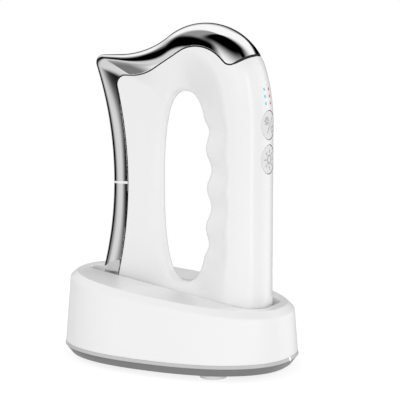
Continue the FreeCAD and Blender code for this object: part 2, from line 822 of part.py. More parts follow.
def build_contacts():
    pins = []
    for z in (size.upper_contact_height, size.lower_contact_height):
        pin = rod(size.contact_diameter, side(-FAR, z), side(contact_end(z), z))
        pins.append(pin.common(under_electrode.fuse(mirrored(under_electrode))))
    free_piece("electrode_contacts", Part.makeCompound(pins), size.handset_seat)
    pads = []
    for k, way in enumerate(("-", "+")):
        x = f"hole_x {way} pad_spacing / 2"
        disc = cylinder(f"pad_disc_{k}", "pad_diameter", "pad_height", (x, "0", "handset_seat"))
        stem = cylinder(f"pad_stem_{k}", "pad_stem_diameter", "pad_stem_height", (x, "0", "handset_seat"))
        pads.append(join(f"pad_{k}", [disc, stem]))
    piece("charge_pads", group("charge_pads", pads))


# Dock
trim_bottom = size.foot_height + size.base_height
shell_bottom = trim_bottom + size.trim_height
base_floor_top = size.foot_height + size.base_floor
floor_top = size.handset_seat - size.seat_gap
floor_bottom = floor_top - size.well_floor


def oval(inset, height):
    """Wire of the dock's oval, drawn in by the inset."""
    half_length = size.dock_length / 2 - inset
    half_width = size.dock_width / 2 - inset
    power = 2 / size.dock_squareness
    points = []
    for k in range(OVAL_POINTS):
        turn = 2 * math.pi * k / OVAL_POINTS
        points.append(Vector(half_length * bulged(math.cos(turn), power),
                             half_width * bulged(math.sin(turn), power), height))
    return Part.Wire([closed_loop(points).toShape()])


def oval_solid(low_inset, low, high_inset, high):
    return Part.makeLoft([oval(low_inset, low), oval(high_inset, high)], True, True)


def above_deck(drop):
    """Space above the slanted deck, lowered by the drop."""
    space = Part.makeBox(2 * FAR, 2 * FAR, FAR, Vector(-FAR, -FAR, 0))
    space.Placement = Placement(Vector(0, 0, shell_bottom + size.deck_height - drop),
                                Rotation(Vector(0, 1, 0), size.deck_tilt))
    return space


def well(grow, low, high):
    """Tapered slot for the handset's lower end, grown outwards."""
    wire = rounded([
        (-size.well_front, -size.well_front_width / 2, size.well_front_radius),
        (size.well_back, -size.well_back_width / 2, size.well_back_radius),
        (size.well_back, size.well_back_width / 2, size.well_back_radius),
        (-size.well_front, size.well_front_width / 2, size.well_front_radius),
    ], plan)
    face = Part.Face(wire)
    if grow > 0:
        face = face.makeOffset2D(grow)
    return face.extrude(Vector(0, 0, high - low)).translated(Vector(0, 0, low))


def foot_places():
    return [(size.back_foot_x, size.back_foot_y), (size.back_foot_x, -size.back_foot_y),
            (-size.front_foot_x, size.front_foot_y), (-size.front_foot_x, -size.front_foot_y)]


def socket_frame(grow, length):
    """Stadium-shaped bar along Y for the charging socket at the far side of the dock."""
    half = (size.socket_width - size.socket_height) / 2
    radius = size.socket_height / 2 + grow
    z = dock_board_top() + size.socket_height / 2
    ends = [rod(2 * radius, Vector(size.hole_x + half * way, 0, z), Vector(size.hole_x + half * way, length, z))
            for way in (-1, 1)]
    middle = box_between(Vector(size.hole_x - half, 0, z - radius), Vector(size.hole_x + half, length, z + radius))
    return middle.multiFuse(ends)


def board_posts():
    return [(size.hole_x + size.dock_board_screw_x * way, size.dock_board_screw_y) for way in (-1, 1)]


def dock_board_top():
    return floor_bottom - size.pin_block_height


def socket_face():
    """How far along Y the socket's mouth lies: flush with the inside of the dock's wall."""
    return size.dock_width / 2 - size.dock_wall - size.socket_clearance


def build_dock_shell():
    top = shell_bottom + size.deck_height + size.dock_length * math.tan(math.radians(size.deck_tilt))
    draft = math.tan(math.radians(size.wall_draft)) * (top - shell_bottom)
    outside = oval_solid(0, shell_bottom, draft, top).cut(above_deck(0))
    deck = max(outside.Faces, key=lambda face: face.CenterOfMass.z)
    outside = outside.makeChamfer(size.deck_chamfer, deck.Edges)
    inside = oval_solid(size.dock_wall, shell_bottom, size.dock_wall + draft, top).cut(above_deck(size.dock_wall))
    well_body = well(size.well_wall, floor_bottom, top).common(outside)
    posts = []
    pilots = []
    for x, y in foot_places():
        post = rod(size.post_diameter, Vector(x, y, base_floor_top), Vector(x, y, top))
        posts.append(post.cut(above_deck(size.dock_wall / 2)))
        pilots.append(rod(size.dock_screw_diameter, Vector(x, y, base_floor_top),
                          Vector(x, y, base_floor_top + size.dock_screw_length)))
    for x, y in board_posts():
        post = rod(size.post_diameter, Vector(x, y, dock_board_top()), Vector(x, y, top))
        posts.append(post.cut(above_deck(size.dock_wall / 2)))
        pilots.append(rod(size.dock_board_screw_diameter, Vector(x, y, dock_board_top()),
                          Vector(x, y, dock_board_top() + size.dock_board_screw_length)))
    shell = outside.cut(inside).fuse(well_body).multiFuse(posts)
    shell = shell.cut(well(0, floor_top, top + FAR))
    holes = pilots + [socket_frame(size.socket_clearance, size.dock_width).cut(
        band_y(socket_face() - size.socket_clearance))]
    for x in pad_places():
        holes.append(rod(size.pin_diameter + 2 * size.pin_clearance, Vector(x, 0, 0), Vector(x, 0, top)))
    free_piece("dock_shell", shell.cut(holes[0].multiFuse(holes[1:])).removeSplitter())


def band_y(high):
    return Part.makeBox(2 * FAR, high + FAR, 2 * FAR, Vector(-FAR, -FAR, -FAR))


def indicator_bar(low, high):
    """Short upright bar at the handle end of the dock, cut out of the trim for the indicator."""
    half = size.indicator_width / 2
    x = size.dock_length / 2
    return box_between(Vector(x - size.trim_width, size.indicator_y - half, low),
                       Vector(x + size.trim_width, size.indicator_y + half, high))


def build_dock_rings():
    trim = oval_solid(-size.trim_flare, trim_bottom, 0, shell_bottom)
    ring = trim.cut(oval_solid(size.trim_width, trim_bottom, size.trim_width, shell_bottom))
    window = indicator_bar(trim_bottom, shell_bottom)
    free_piece("dock_trim", ring.cut(window))
    free_piece("dock_indicator", ring.common(window))
    solid = oval_solid(size.base_inset, size.foot_height, -size.trim_flare / 2, trim_bottom)
    pocket = oval_solid(size.base_wall, base_floor_top, size.base_wall, trim_bottom + FAR)
    holes = []
    for x, y in foot_places():
        holes.append(rod(size.dock_screw_diameter, Vector(x, y, 0), Vector(x, y, base_floor_top)))
        holes.append(rod(size.dock_screw_head, Vector(x, y, 0),
                         Vector(x, y, size.foot_height + size.dock_screw_head_height)))
    free_piece("dock_base", solid.cut(pocket).cut(holes[0].multiFuse(holes[1:])))


def build_dock_fixings():
    feet = []
    screws = []
    corners = [("back_foot_x", "back_foot_y"), ("back_foot_x", "-back_foot_y"),
               ("-front_foot_x", "front_foot_y"), ("-front_foot_x", "-front_foot_y")]
    for k, (x, y) in enumerate(corners):
        feet.append(cylinder(f"foot_{k}", "foot_diameter", "foot_height", (x, y, "0")))
        head = cylinder(f"dock_head_{k}", "dock_screw_head", "dock_screw_head_height", (x, y, "foot_height"))
        shank = cylinder(f"dock_shank_{k}", "dock_screw_diameter",
                         "base_floor + dock_screw_length", (x, y, "foot_height"))
        screws.append(join(f"dock_screw_{k}", [head, shank]))
    piece("dock_feet", group("dock_feet", feet))
    piece("dock_screws", group("dock_screws", screws))
    piece("ballast_plate", block("ballast_plate", "ballast_length", "ballast_width", "ballast_height", (
        "hole_x - ballast_length / 2", "-ballast_width / 2", "foot_height + base_floor")))


def tangent_arc(start, corner, finish):
    """Arc from start to finish, tangent there to the two equal sides that meet at the corner."""
    middle = (start + finish) / 2
    half_chord = (finish - start).Length / 2
    half_turn = math.atan2((corner - middle).Length, half_chord)
    top = middle + (corner - middle).normalize() * half_chord * math.tan(half_turn / 2)
    return Part.Arc(start, top, finish).toShape()


def coil(radius, rise, turns):
    """Arcs of a coil about Z, two tangent ones in each quarter turn."""
    count = max(1, round(4 * turns))
    step = 2 * math.pi * turns / count
    spots = []
    ways = []
    for k in range(count + 1):
        turn = k * step
        spots.append(Vector(radius * math.cos(turn), radius * math.sin(turn), rise * k / count))
        ways.append(Vector(-radius * math.sin(turn) * step, radius * math.cos(turn) * step, rise / count).normalize())
    edges = []
    for k in range(count):
        chord = spots[k + 1] - spots[k]
        along = chord.dot(ways[k] + ways[k + 1])
        bend = 2 * (1 - ways[k].dot(ways[k + 1]))
        reach = (math.sqrt(along * along + bend * chord.dot(chord)) - along) / bend
        first = spots[k] + ways[k] * reach
        second = spots[k + 1] - ways[k + 1] * reach
        join_spot = (first + second) / 2
        edges.append(tangent_arc(spots[k], first, join_spot))
        edges.append(tangent_arc(join_spot, second, spots[k + 1]))
    return edges


def wire_along(arcs, diameter):
    """Round wire along tangent arcs, turned about each arc's own axis."""
    ring = Part.makeCircle(diameter / 2, arcs[0].valueAt(arcs[0].FirstParameter),
                           arcs[0].tangentAt(arcs[0].FirstParameter))
    faces = [Part.Face(Part.Wire([ring]))]
    for arc in arcs:
        angle = math.degrees(arc.LastParameter - arc.FirstParameter)
        faces.append(ring.revolve(arc.Curve.Center, arc.Curve.Axis, angle))
        ring = ring.copy()
        ring.rotate(arc.Curve.Center, arc.Curve.Axis, angle)
    faces.append(Part.Face(Part.Wire([ring])))
    shell = Part.Shell(faces)
    shell.sewShape()
    solid = Part.Solid(shell)
    if solid.Volume < 0:
        solid.reverse()
    return solid


def build_dock_electronics():
    block_top = "handset_seat - seat_gap - well_floor"
    board_top = f"{block_top} - pin_block_height"
    board = block("dock_board_blank", "dock_board_length", "dock_board_front + dock_board_reach",
                  "dock_board_thickness", (
                      "hole_x - dock_board_length / 2", "-dock_board_front", f"{board_top} - dock_board_thickness"))
    holes = []
    screws = []
    for k, way in enumerate(("-", "+")):
        x = f"hole_x {way} dock_board_screw_x"
        under = f"{board_top} - dock_board_thickness"
        holes.append(cylinder(f"dock_board_hole_{k}", "dock_board_screw_diameter", "dock_board_thickness", (
            x, "dock_board_screw_y", under)))
        shank = cylinder(f"dock_board_shank_{k}", "dock_board_screw_diameter",
                         "dock_board_thickness + dock_board_screw_length", (x, "dock_board_screw_y", under))
        head = cylinder(f"dock_board_head_{k}", "dock_board_screw_head", "board_screw_head_height", (
            x, "dock_board_screw_y", f"{under} - board_screw_head_height"))
        screws.append(join(f"dock_board_screw_{k}", [shank, head]))
    piece("dock_board", cut("dock_board", board, holes))
    piece("dock_board_screws", group("dock_board_screws", screws))
    led_x = "dock_length / 2 - trim_width - dock_led_gap - dock_led_size"
    middle = f"{board_top} - dock_board_thickness / 2"
    piece("dock_led", block("dock_led", "dock_led_size", "dock_led_size",
                            f"{middle} + dock_led_size / 2 - foot_height - base_height", (
                                led_x, "indicator_y - dock_led_size / 2", "foot_height + base_height")))
    piece("dock_lead", cylinder("dock_lead", "lead_diameter", f"{led_x} - hole_x - dock_board_length / 2", (
        "hole_x + dock_board_length / 2", "indicator_y", middle), "X"))
    blank = block("pin_block_blank", "pin_block_length", "pin_block_width", "pin_block_height", (
        "hole_x - pin_block_length / 2", "-pin_block_width / 2", board_top))
    bores = []
    for k, (name, way) in enumerate((("left", "-"), ("right", "+"))):
        x = f"hole_x {way} pad_spacing / 2"
        tip = "handset_seat - pin_gap"
        collar_low = f"{block_top} - pin_block_height + pin_travel + spring_turns * spring_wire * 2"
        bores.append(cylinder(f"{name}_wide_bore", "pin_collar_diameter + 2 * pin_clearance",
                              "pin_travel + spring_turns * spring_wire * 2 + pin_collar_height + pin_travel / 2",
                              (x, "0", board_top)))
        bores.append(cylinder(f"{name}_fine_bore", "pin_diameter + 2 * pin_clearance", "pin_block_height",
                              (x, "0", board_top)))
        shank = cylinder(f"{name}_pin_shank", "pin_diameter", f"{tip} - ({collar_low})", (x, "0", collar_low))
        collar = cylinder(f"{name}_pin_collar", "pin_collar_diameter", "pin_collar_height", (x, "0", collar_low))
        piece(f"{name}_contact_pin", join(f"{name}_contact_pin", [shank, collar]))
    piece("pin_block", cut("pin_block", blank, bores))
    height = size.pin_travel + size.spring_turns * size.spring_wire * 2
    radius = size.pin_collar_diameter / 2 - size.spring_wire
    for name, x in zip(("left", "right"), pad_places()):
        spring = wire_along(coil(radius, height - 2 * size.spring_wire, size.spring_turns), size.spring_wire)
        free_piece(f"{name}_pin_spring", spring.translated(
            Vector(x, 0, dock_board_top() + size.spring_wire)))
    length = socket_face()
    outer = socket_frame(0, length).cut(band_y(length - size.socket_length))
    inner = socket_frame(-size.socket_wall, length).cut(band_y(length - size.socket_length + size.socket_wall))
    free_piece("charging_socket", outer.cut(inner))
    z = dock_board_top() + size.socket_height / 2
    half = size.socket_width / 2 - size.socket_height / 2
    tongue = box_between(
        Vector(size.hole_x - half, length - size.socket_length + size.socket_wall, z - size.socket_wall),
        Vector(size.hole_x + half, length - size.socket_wall, z + size.socket_wall))
    free_piece("socket_tongue", tongue)


build_shells()
build_electrodes()
build_shell_screws()
build_buttons()
build_lights()
build_board()
build_battery()
build_motor()
build_contacts()
build_leads()
build_dock_shell()
build_dock_rings()
build_dock_fixings()
build_dock_electronics()
doc.recompute()

# Every object has to be sound before any file is written
for obj in doc.Objects:
    if {"Invalid", "Error"} & set(obj.State):
        raise RuntimeError(f"{obj.Name} failed: {obj.State}")
for obj in pieces:
    if obj.Shape.isNull() or not obj.Shape.isValid():
        raise RuntimeError(f"{obj.Label} has no valid shape")
os.makedirs("parts", exist_ok=True)
for obj in pieces:
    obj.Shape.exportStep(f"parts/{obj.Label}.step")
    print(obj.Label, len(obj.Shape.Solids), round(obj.Shape.Volume, 1))
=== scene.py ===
"""Looks of the handheld massager and its charging dock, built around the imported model.

Sizes of the object are in millimetres, and those of the stage in metres. Handset sizes are measured
from its flat sole, and SEAT lifts them to where it stands. X runs from the polished front edge to the
back of the handle, Y across the thickness, Z up.
"""
import json
import math
import bmesh
import bpy
import numpy as np
from mathutils import Matrix, Vector
from mathutils.bvhtree import BVHTree
from mathutils.interpolate import poly_3d_calc


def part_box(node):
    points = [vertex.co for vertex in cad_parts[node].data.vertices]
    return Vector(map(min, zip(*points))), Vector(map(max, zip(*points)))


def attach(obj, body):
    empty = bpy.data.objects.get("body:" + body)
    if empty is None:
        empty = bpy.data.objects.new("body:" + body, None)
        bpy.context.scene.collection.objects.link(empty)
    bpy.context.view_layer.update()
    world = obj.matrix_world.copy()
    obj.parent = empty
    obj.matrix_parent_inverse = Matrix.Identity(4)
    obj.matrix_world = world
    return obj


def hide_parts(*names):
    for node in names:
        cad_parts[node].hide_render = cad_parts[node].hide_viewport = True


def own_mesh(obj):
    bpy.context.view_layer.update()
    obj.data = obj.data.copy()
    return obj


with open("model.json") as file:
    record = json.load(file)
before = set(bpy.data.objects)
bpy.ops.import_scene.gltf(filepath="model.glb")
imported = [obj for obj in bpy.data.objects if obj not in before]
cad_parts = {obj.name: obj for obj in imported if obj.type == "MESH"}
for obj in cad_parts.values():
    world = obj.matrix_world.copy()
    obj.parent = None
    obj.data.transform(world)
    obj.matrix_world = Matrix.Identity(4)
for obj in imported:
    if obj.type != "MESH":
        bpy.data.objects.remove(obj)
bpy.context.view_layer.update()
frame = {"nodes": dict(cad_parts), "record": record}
nodes = frame["nodes"]
MM = 0.001

# Loop body of the handset: side outline as corners (x, z, radius), finger hole, thickness. The bumps
# for the fingers reach FINGER_REACH pitches from the hole's middle, and fade over the last FINGER_FADE.
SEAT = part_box("near_shell")[0].z / MM
OUTLINE = [(50.9, -2.0, 16.0), (50.9, 122.2, 100.0), (34.3, 180.8, 33.0), (-18.0, 143.7, 55.0),
           (-50.9, 142.7, 4.0), (-28.6, 77.0, 174.0), (-55.9, -2.0, 12.0)]
HOLE_MIDDLE = np.array([4.0, 75.0])
HOLE_HALF = np.array([14.0, 49.7])
HOLE_SQUARENESS = 2.6
FINGER_PITCH = 20.1
FINGER_DEPTH = 2.8
FINGER_REACH = 2
FINGER_FADE = 0.5
FRONT_THICKNESS = 10.4
THIN_LINE_X = -39.0
BACK_THICKNESS = 34.0
THICK_LINE_X = 38.0
LIP_THICKNESS = 8.0
EDGE_ROUNDNESS = 0.84
SHELL_WALL = 2.6
ELECTRODE_WALL = 1.2

# Shares that shape the section from the finger hole to the outer edge
LIP_FULLNESS = 0.9
SHOULDER_SHARE = 0.10
SHOULDER_FULLNESS = 1.45
SWELL_SHARE = 0.45
SWELL_FULLNESS = 0.85
CREST_FULLNESS = 1.14
EDGE_SQUARENESS = 0.75
ROLL_LIMIT = 0.45

# Seam between the white shells and the polished metal, from the toe to the back of the crown
SEAM = [(-47.6, -25.0, 0.0), (-21.8, 77.5, 182.0), (-36.0, 132.2, 4.5), (-17.7, 132.2, 33.5),
        (19.4, 152.8, 21.0), (35.2, 137.9, 4.5), (46.4, 145.2, 8.0), (200.0, 145.2, 0.0)]
SEAM_GAP = 0.45
SHELL_EDGE_ROUND = 0.35
METAL_EDGE_ROUND = 0.35
SPLIT_LOW = 75.1
SPLIT_HIGH = 76.1

# Buttons and lights on the back of the handle
BUTTON_HEIGHTS = {"mode": 108.7, "light": 91.3}
BUTTON_RADIUS = 7.4
BUTTON_GAP = 0.2
BUTTON_EDGE_ROUND = 0.45
BUTTON_DEPTH = 3.0
BUTTON_MIDDLE = 0.1
BUTTON_FACE_X = 49.0
MARK_RISE = 0.22
MARK_HALF_WIDTH = 0.24
MARK_SLOPE = 0.24
LIGHT_RADIUS = 0.8
LIGHT_GAP = 0.06
LIGHT_DOME = 0.16
LIGHT_RIM = 0.05
LIGHT_TIP = 0.04
LIGHT_DEPTH = 3.0
LIGHT_SPREAD = 5.3
LIGHT_PITCH = 3.55
LIGHT_HEIGHT = 123.2
PAD_X = (-3.0, 11.0)
PAD_HOLE_RADIUS = 2.6
PAD_HOLE_BELOW = 1.0
PAD_HOLE_ABOVE = 6.0
BACK_CUT_END = 60.0
RAY_START = 100.0

# Dock, measured from the table
DOCK_HALF_LENGTH = 64.0
DOCK_HALF_WIDTH = 41.0
DOCK_SQUARENESS = 2.34
DOCK_WALL = 2.4
WALL_DRAFT = math.tan(math.radians(4.5))
SHELL_BOTTOM = 8.25
DECK_HEIGHT = 31.7
DECK_SLOPE = math.tan(math.radians(6.35))
DECK_CHAMFER = 3.2
CHAMFER_ROUND = 1.6
DECK_EDGE_ROUND = 0.35
BOTTOM_ROUND = 0.3
WELL = [(-53.7, -4.7, 4.2), (53.4, -20.3, 12.0), (53.4, 20.3, 12.0), (-53.7, 4.7, 4.2)]
WELL_WALL = 2.0
WELL_EDGE_ROUND = 0.5
WELL_LIP = 2.0
FLOOR_TOP = 17.2
FLOOR_BOTTOM = 14.8
FLOOR_ROUND = 0.6
FLOOR_STEP = 3.0
PIN_HOLE_RADIUS = 0.98
SOCKET_GAP = 0.25
SOCKET_CUT = (36.0, 45.0)
CUT_MARGIN = 1.0
TRIM_BOTTOM = 6.5
TRIM_FLARE = 0.4
TRIM_WIDTH = 3.0
TRIM_LOW_ROUND = 0.2
TRIM_TOP_ROUND = 0.15
TRIM_BACK_ROUND = 0.1
BASE_BOTTOM = 2.0
BASE_INSET = 3.2
BASE_WALL = 3.6
BASE_FLOOR_TOP = 4.0
BASE_FLOOR_REACH = 15.2
BASE_LOW_ROUND = 0.7
BASE_RIM_ROUND = 0.2
FEET = [(32.5, 26.4), (32.5, -26.4), (-38.0, 18.0), (-38.0, -18.0)]
FOOT_RADIUS = 7.0
FOOT_ROUND = 0.5
FOOT_TOP_ROUND = 0.15
FOOT_MIDDLE = 0.5

# Coil springs under the contact pins: wire thickness and number of turns
SPRING_WIRE = 0.3
SPRING_TURNS = 4

# How finely the handset is drawn: counts of points or rows, and steps along lines
STATIONS = 900
OUTSIDE_ROWS = 48
ROUND_ROWS = 4
STEP_ROWS = 6
# Rows at the end of the shell's rolled edge that take the painted shade of the seam's groove
PAINTED_SHADE_ROWS = 2
INSIDE_ROWS = 18
METAL_ROWS = 64
ARC_STEP = 0.1
ARC_LEAST = 4
FINE_STEP = 0.05
SEAM_STEP = 0.2
SEAM_TABLE = 1601
HOLE_GUESSES = 1440
HOLE_STEPS = 6
BUTTON_POINTS = 192
BUTTON_RINGS = 52
BUTTON_HOLE_POINTS = 160
LIGHT_POINTS = 40
LIGHT_HOLE_POINTS = 48
PAD_HOLE_POINTS = 64
ROLL_ANGLES = 7
JOINED_DIGITS = 5

# How finely the dock is drawn
DOCK_STATIONS = 360
OVAL_SAMPLES = 8001
DECK_STEPS = 8
SOCKET_POINTS = 64
PIN_HOLE_POINTS = 48
FOOT_POINTS = 64
SPRING_RINGS = 129
SPRING_RING_POINTS = 16

# Where the stations of the outer edge lie closer, and how near the split its height is looked for
TIP_MIDDLE = (-48.0, 139.0)
TIP_REACH = 16.0
CHEEK_X = 33.0
CHEEK_HEIGHT = 125.0
CLOSER = 2.0
SPLIT_REACH = 30.0

# A section of the loop body runs from 0 at the finger hole to LAST_V at the outer edge
LAST_V = 4.0
KNOTS = np.array([0, 0, 0, 0, 1, 2, 3, 4, 4, 4, 4], float)
SEAM_NUDGE = 0.002
MIRROR = np.array([1.0, -1.0, 1.0])

# Material slots of the skins
OUTSIDE_SLOT = 0
INSIDE_SLOT = 1
# Slot of near black paint: painted shade in the seam's groove under the metal and in the walls of cut holes
PAINTED_SHADE_SLOT = 2
SLOT_COUNT = 3


# Curves
def unit(rows):
    return rows / np.maximum(np.linalg.norm(rows, axis=-1, keepdims=True), 1e-12)


def rounded(corners, closed):
    """Points along the lines and tangent arcs of corners (a, b, radius), each arc cut to fit its sides."""
    spots = np.array([corner[:2] for corner in corners])
    count = len(spots)
    turns = range(count) if closed else range(1, count - 1)
    sides = {}
    for k in turns:
        to_last = unit(spots[k - 1] - spots[k])
        to_next = unit(spots[(k + 1) % count] - spots[k])
        half = math.acos(np.clip(to_last @ to_next, -1, 1)) / 2
        sides[k] = (to_last, to_next, half, corners[k][2] / math.tan(half))
    points = [] if closed else [spots[:1]]
    for k in turns:
        to_last, to_next, half, reach = sides[k]
        run = reach
        for other in ((k - 1) % count, (k + 1) % count):
            length = np.linalg.norm(spots[other] - spots[k])
            needed = reach + (sides[other][3] if other in sides else 0.0)
            run = min(run, reach * length / max(length, needed))
        radius = run * math.tan(half)
        centre = spots[k] + unit(to_last + to_next) * radius / math.sin(half)
        start = spots[k] + to_last * run - centre
        finish = spots[k] + to_next * run - centre
        first = math.atan2(start[1], start[0])
        turn = (math.atan2(finish[1], finish[0]) - first + math.pi) % (2 * math.pi) - math.pi
        angles = first + turn * np.linspace(0, 1, max(ARC_LEAST, int(abs(turn) * radius / ARC_STEP)))
        points.append(centre + radius * np.stack([np.cos(angles), np.sin(angles)], axis=1))
    if not closed:
        points.append(spots[-1:])
    return np.concatenate(points)


def run_lengths(points):
    return np.concatenate([[0.0], np.cumsum(np.linalg.norm(np.diff(points, axis=0), axis=1))])


def along(points, marks):
    """Points at the given distances along a line of points."""
    run = run_lengths(points)
    return np.stack([np.interp(marks, run, points[:, axis]) for axis in range(points.shape[1])], axis=1)


def evenly(points, step):
    total = run_lengths(points)[-1]
    return along(points, np.linspace(0, total, int(total / step)))


def bulged(values, power):
    return np.sign(values) * np.abs(values) ** power


def smoothstep(values):
    values = np.clip(values, 0, 1)
    return values * values * (3 - 2 * values)


# Stations round the outer edge, and the finger hole's edge that faces them
def outer_stations():
    """Points of the outer edge from the middle of the sole, closer at the nose's tip and at the cheek."""
    ring = rounded(OUTLINE, closed=True)
    middle = (ring[:1] + ring[-1:]) / 2
    fine = evenly(np.concatenate([middle, ring, middle]), FINE_STEP)
    run = run_lengths(fine)
    near_tip = np.linalg.norm(fine - TIP_MIDDLE, axis=1) < TIP_REACH
    near_cheek = (fine[:, 0] > CHEEK_X) & (fine[:, 1] > CHEEK_HEIGHT)
    weight = np.cumsum(1 + CLOSER * near_tip + CLOSER * near_cheek)
    marks = np.interp(np.linspace(weight[0], weight[-1], STATIONS + 1)[:-1], weight, run)
    front = (fine[:, 0] < 0) & (np.abs(fine[:, 1] - SPLIT_LOW) < SPLIT_REACH)
    splits = np.interp([-SPLIT_LOW, -SPLIT_HIGH], -fine[front, 1], run[front])
    return along(fine, np.sort(np.concatenate([marks, splits])))


def hole_stations(outer):
    """Points of the finger hole's edge, found from the nearest points of a plain oval."""
    spot = outer - HOLE_MIDDLE
    guesses = np.linspace(-math.pi, math.pi, HOLE_GUESSES)
    ring = np.stack([np.cos(guesses), np.sin(guesses)], axis=1) * HOLE_HALF
    apart = np.linalg.norm(spot[:, None] - ring[None], axis=2)
    turn = guesses[np.argmin(apart, axis=1)]
    for step in range(HOLE_STEPS):
        here = np.stack([np.cos(turn), np.sin(turn)], axis=1) * HOLE_HALF
        slope = np.stack([-np.sin(turn), np.cos(turn)], axis=1) * HOLE_HALF
        miss = np.sum((here - spot) * slope, axis=1)
        gain = np.sum(slope * slope, axis=1) - np.sum((here - spot) * here, axis=1)
        turn = turn - miss / gain
    power = 2 / HOLE_SQUARENESS
    facing = np.stack([np.cos(turn), np.sin(turn)], axis=1)
    hole = HOLE_MIDDLE + HOLE_HALF * bulged(facing, power)
    turns = (hole[:, 1] - HOLE_MIDDLE[1]) / FINGER_PITCH
    fade = smoothstep((FINGER_REACH - np.abs(turns)) / FINGER_FADE)
    wave = -FINGER_DEPTH / 2 * np.cos(2 * math.pi * turns) * fade
    hole[:, 0] += np.where(facing[:, 0] > 0, wave, 0)
    return hole


OUTER = outer_stations()
HOLE = hole_stations(OUTER)
SEAM_LINE = evenly(rounded(SEAM, closed=False), SEAM_STEP)
SEAM_ALONG = unit(np.gradient(SEAM_LINE, axis=0))
SEAM_OUT = np.stack([-SEAM_ALONG[:, 1], SEAM_ALONG[:, 0]], axis=1)


def half_thickness(x):
    slope = (BACK_THICKNESS - FRONT_THICKNESS) / 2 / (THICK_LINE_X - THIN_LINE_X)
    return FRONT_THICKNESS / 2 + slope * (x - THIN_LINE_X)


def basis(v):
    """Weights of a section's seven points at v, from 0 at the hole to LAST_V at the outer edge."""
    v = np.clip(v, 0.0, LAST_V - 1e-9)[..., None]
    weights = ((KNOTS[:-1] <= v) & (v < KNOTS[1:])).astype(float)
    for degree in range(1, 4):
        count = len(KNOTS) - 1 - degree
        rise = KNOTS[degree:degree + count] - KNOTS[:count]
        fall = KNOTS[degree + 1:degree + 1 + count] - KNOTS[1:1 + count]
        up = np.where(rise > 0, (v - KNOTS[:count]) / np.where(rise > 0, rise, 1), 0)
        left = KNOTS[degree + 1:degree + 1 + count] - v
        down = np.where(fall > 0, left / np.where(fall > 0, fall, 1), 0)
        weights = up * weights[..., :count] + down * weights[..., 1:count + 1]
    return weights


class Skin:
    """Near half of the loop body's surface, drawn in by an inset, at every station and any v."""

    def __init__(self, inset):
        self.inset = inset
        around = np.roll(OUTER, -1, axis=0) - np.roll(OUTER, 1, axis=0)
        inward = unit(np.stack([around[:, 1], -around[:, 0]], axis=1))
        inward *= np.sign(np.sum(inward * (HOLE - OUTER), axis=1))[:, None]
        edge = OUTER + inward * inset
        self.start = HOLE + unit(OUTER - HOLE) * inset
        self.out = unit(edge - self.start)
        self.span = np.linalg.norm(edge - self.start, axis=1)
        back = half_thickness(OUTER[:, 0])
        thick = half_thickness(OUTER[:, 0] - self.out[:, 0] * EDGE_ROUNDNESS * back) - inset
        lip = LIP_THICKNESS / 2 - inset
        roll = np.minimum(EDGE_ROUNDNESS * thick, self.span * ROLL_LIMIT)
        none = np.zeros_like(thick)
        self.far = np.stack([none, none, self.span * SHOULDER_SHARE, self.span * SWELL_SHARE,
                             self.span - roll, self.span, self.span], axis=1)
        self.up = np.stack([none, none + lip * LIP_FULLNESS, none + lip * SHOULDER_FULLNESS,
                            lip + (thick - lip) * SWELL_FULLNESS, thick * CREST_FULLNESS,
                            thick * EDGE_SQUARENESS, none], axis=1)

    def points(self, v, shift=0):
        """Points at v, one row of v for each station, taken at the station a shift away."""
        weights = basis(v)
        far = np.einsum("krp,kp->kr", weights, np.roll(self.far, -shift, axis=0))
        up = np.einsum("krp,kp->kr", weights, np.roll(self.up, -shift, axis=0))
        start = np.roll(self.start, -shift, axis=0)[:, None]
        flat = start + np.roll(self.out, -shift, axis=0)[:, None] * far[..., None]
        return np.stack([flat[..., 0], -up, np.maximum(flat[..., 1], self.inset)], axis=-1)

    def normals(self, v):
        step = 0.002
        across = self.points(v + step) - self.points(v - step)
        around = self.points(v, 1) - self.points(v, -1)
        return unit(np.cross(across, around))

    def seam(self, offset):
        """v where each station crosses the seam moved onto the metal by an offset, or LAST_V."""
        line = SEAM_LINE + SEAM_OUT * offset
        apart = line[None] - self.start[:, None]
        beside = apart[..., 0] * self.out[:, None, 1] - apart[..., 1] * self.out[:, None, 0]
        ahead = np.sum(apart * self.out[:, None], axis=2)
        crossing = beside[:, :-1] * beside[:, 1:] <= 0
        gap = beside[:, :-1] - beside[:, 1:]
        share = beside[:, :-1] / np.where(np.abs(gap) > 1e-12, gap, 1)
        far = ahead[:, :-1] + share * (ahead[:, 1:] - ahead[:, :-1])
        far = np.where(crossing & (far > 0) & (far < self.span[:, None]), far, np.inf).min(axis=1)
        table = np.linspace(0, LAST_V, SEAM_TABLE)
        reach = basis(table) @ self.far.T
        found = [np.interp(far[k], reach[:, k], table) for k in range(len(far))]
        return np.where(np.isfinite(far), found, LAST_V)


OUTSIDE = Skin(0.0)
UNDER_METAL = Skin(ELECTRODE_WALL)
INSIDE = Skin(SHELL_WALL)


# Meshes
def add_object(name, mesh):
    obj = bpy.data.objects.new(name, mesh)
    bpy.context.scene.collection.objects.link(obj)
    return obj


def new_mesh(name, points, faces, lift=0.0):
    """Mesh in metres from points in millimetres, and the point numbers behind each of its faces.

    Points at one place are joined, empty faces are dropped, and the rest are turned outward.
    """
    points = np.asarray(points, float) + np.array([0.0, 0.0, lift])
    places = np.round(points, JOINED_DIGITS)
    first, ids = np.unique(places, axis=0, return_index=True, return_inverse=True)[1:]
    ids = ids.ravel()
    kept = []
    sources = []
    for face in faces:
        corners = [k for j, k in enumerate(face) if ids[k] != ids[face[j - 1]]]
        if len(corners) > 2 and len(set(ids[corners])) == len(corners):
            kept.append([int(ids[k]) for k in corners])
            sources.append(corners)
    mesh = bpy.data.meshes.new(name)
    mesh.from_pydata((points[first] * MM).tolist(), [], kept)
    turned = bmesh.new()
    turned.from_mesh(mesh)
    bmesh.ops.recalc_face_normals(turned, faces=turned.faces)
    turned.to_mesh(mesh)
    turned.free()
    return mesh, sources


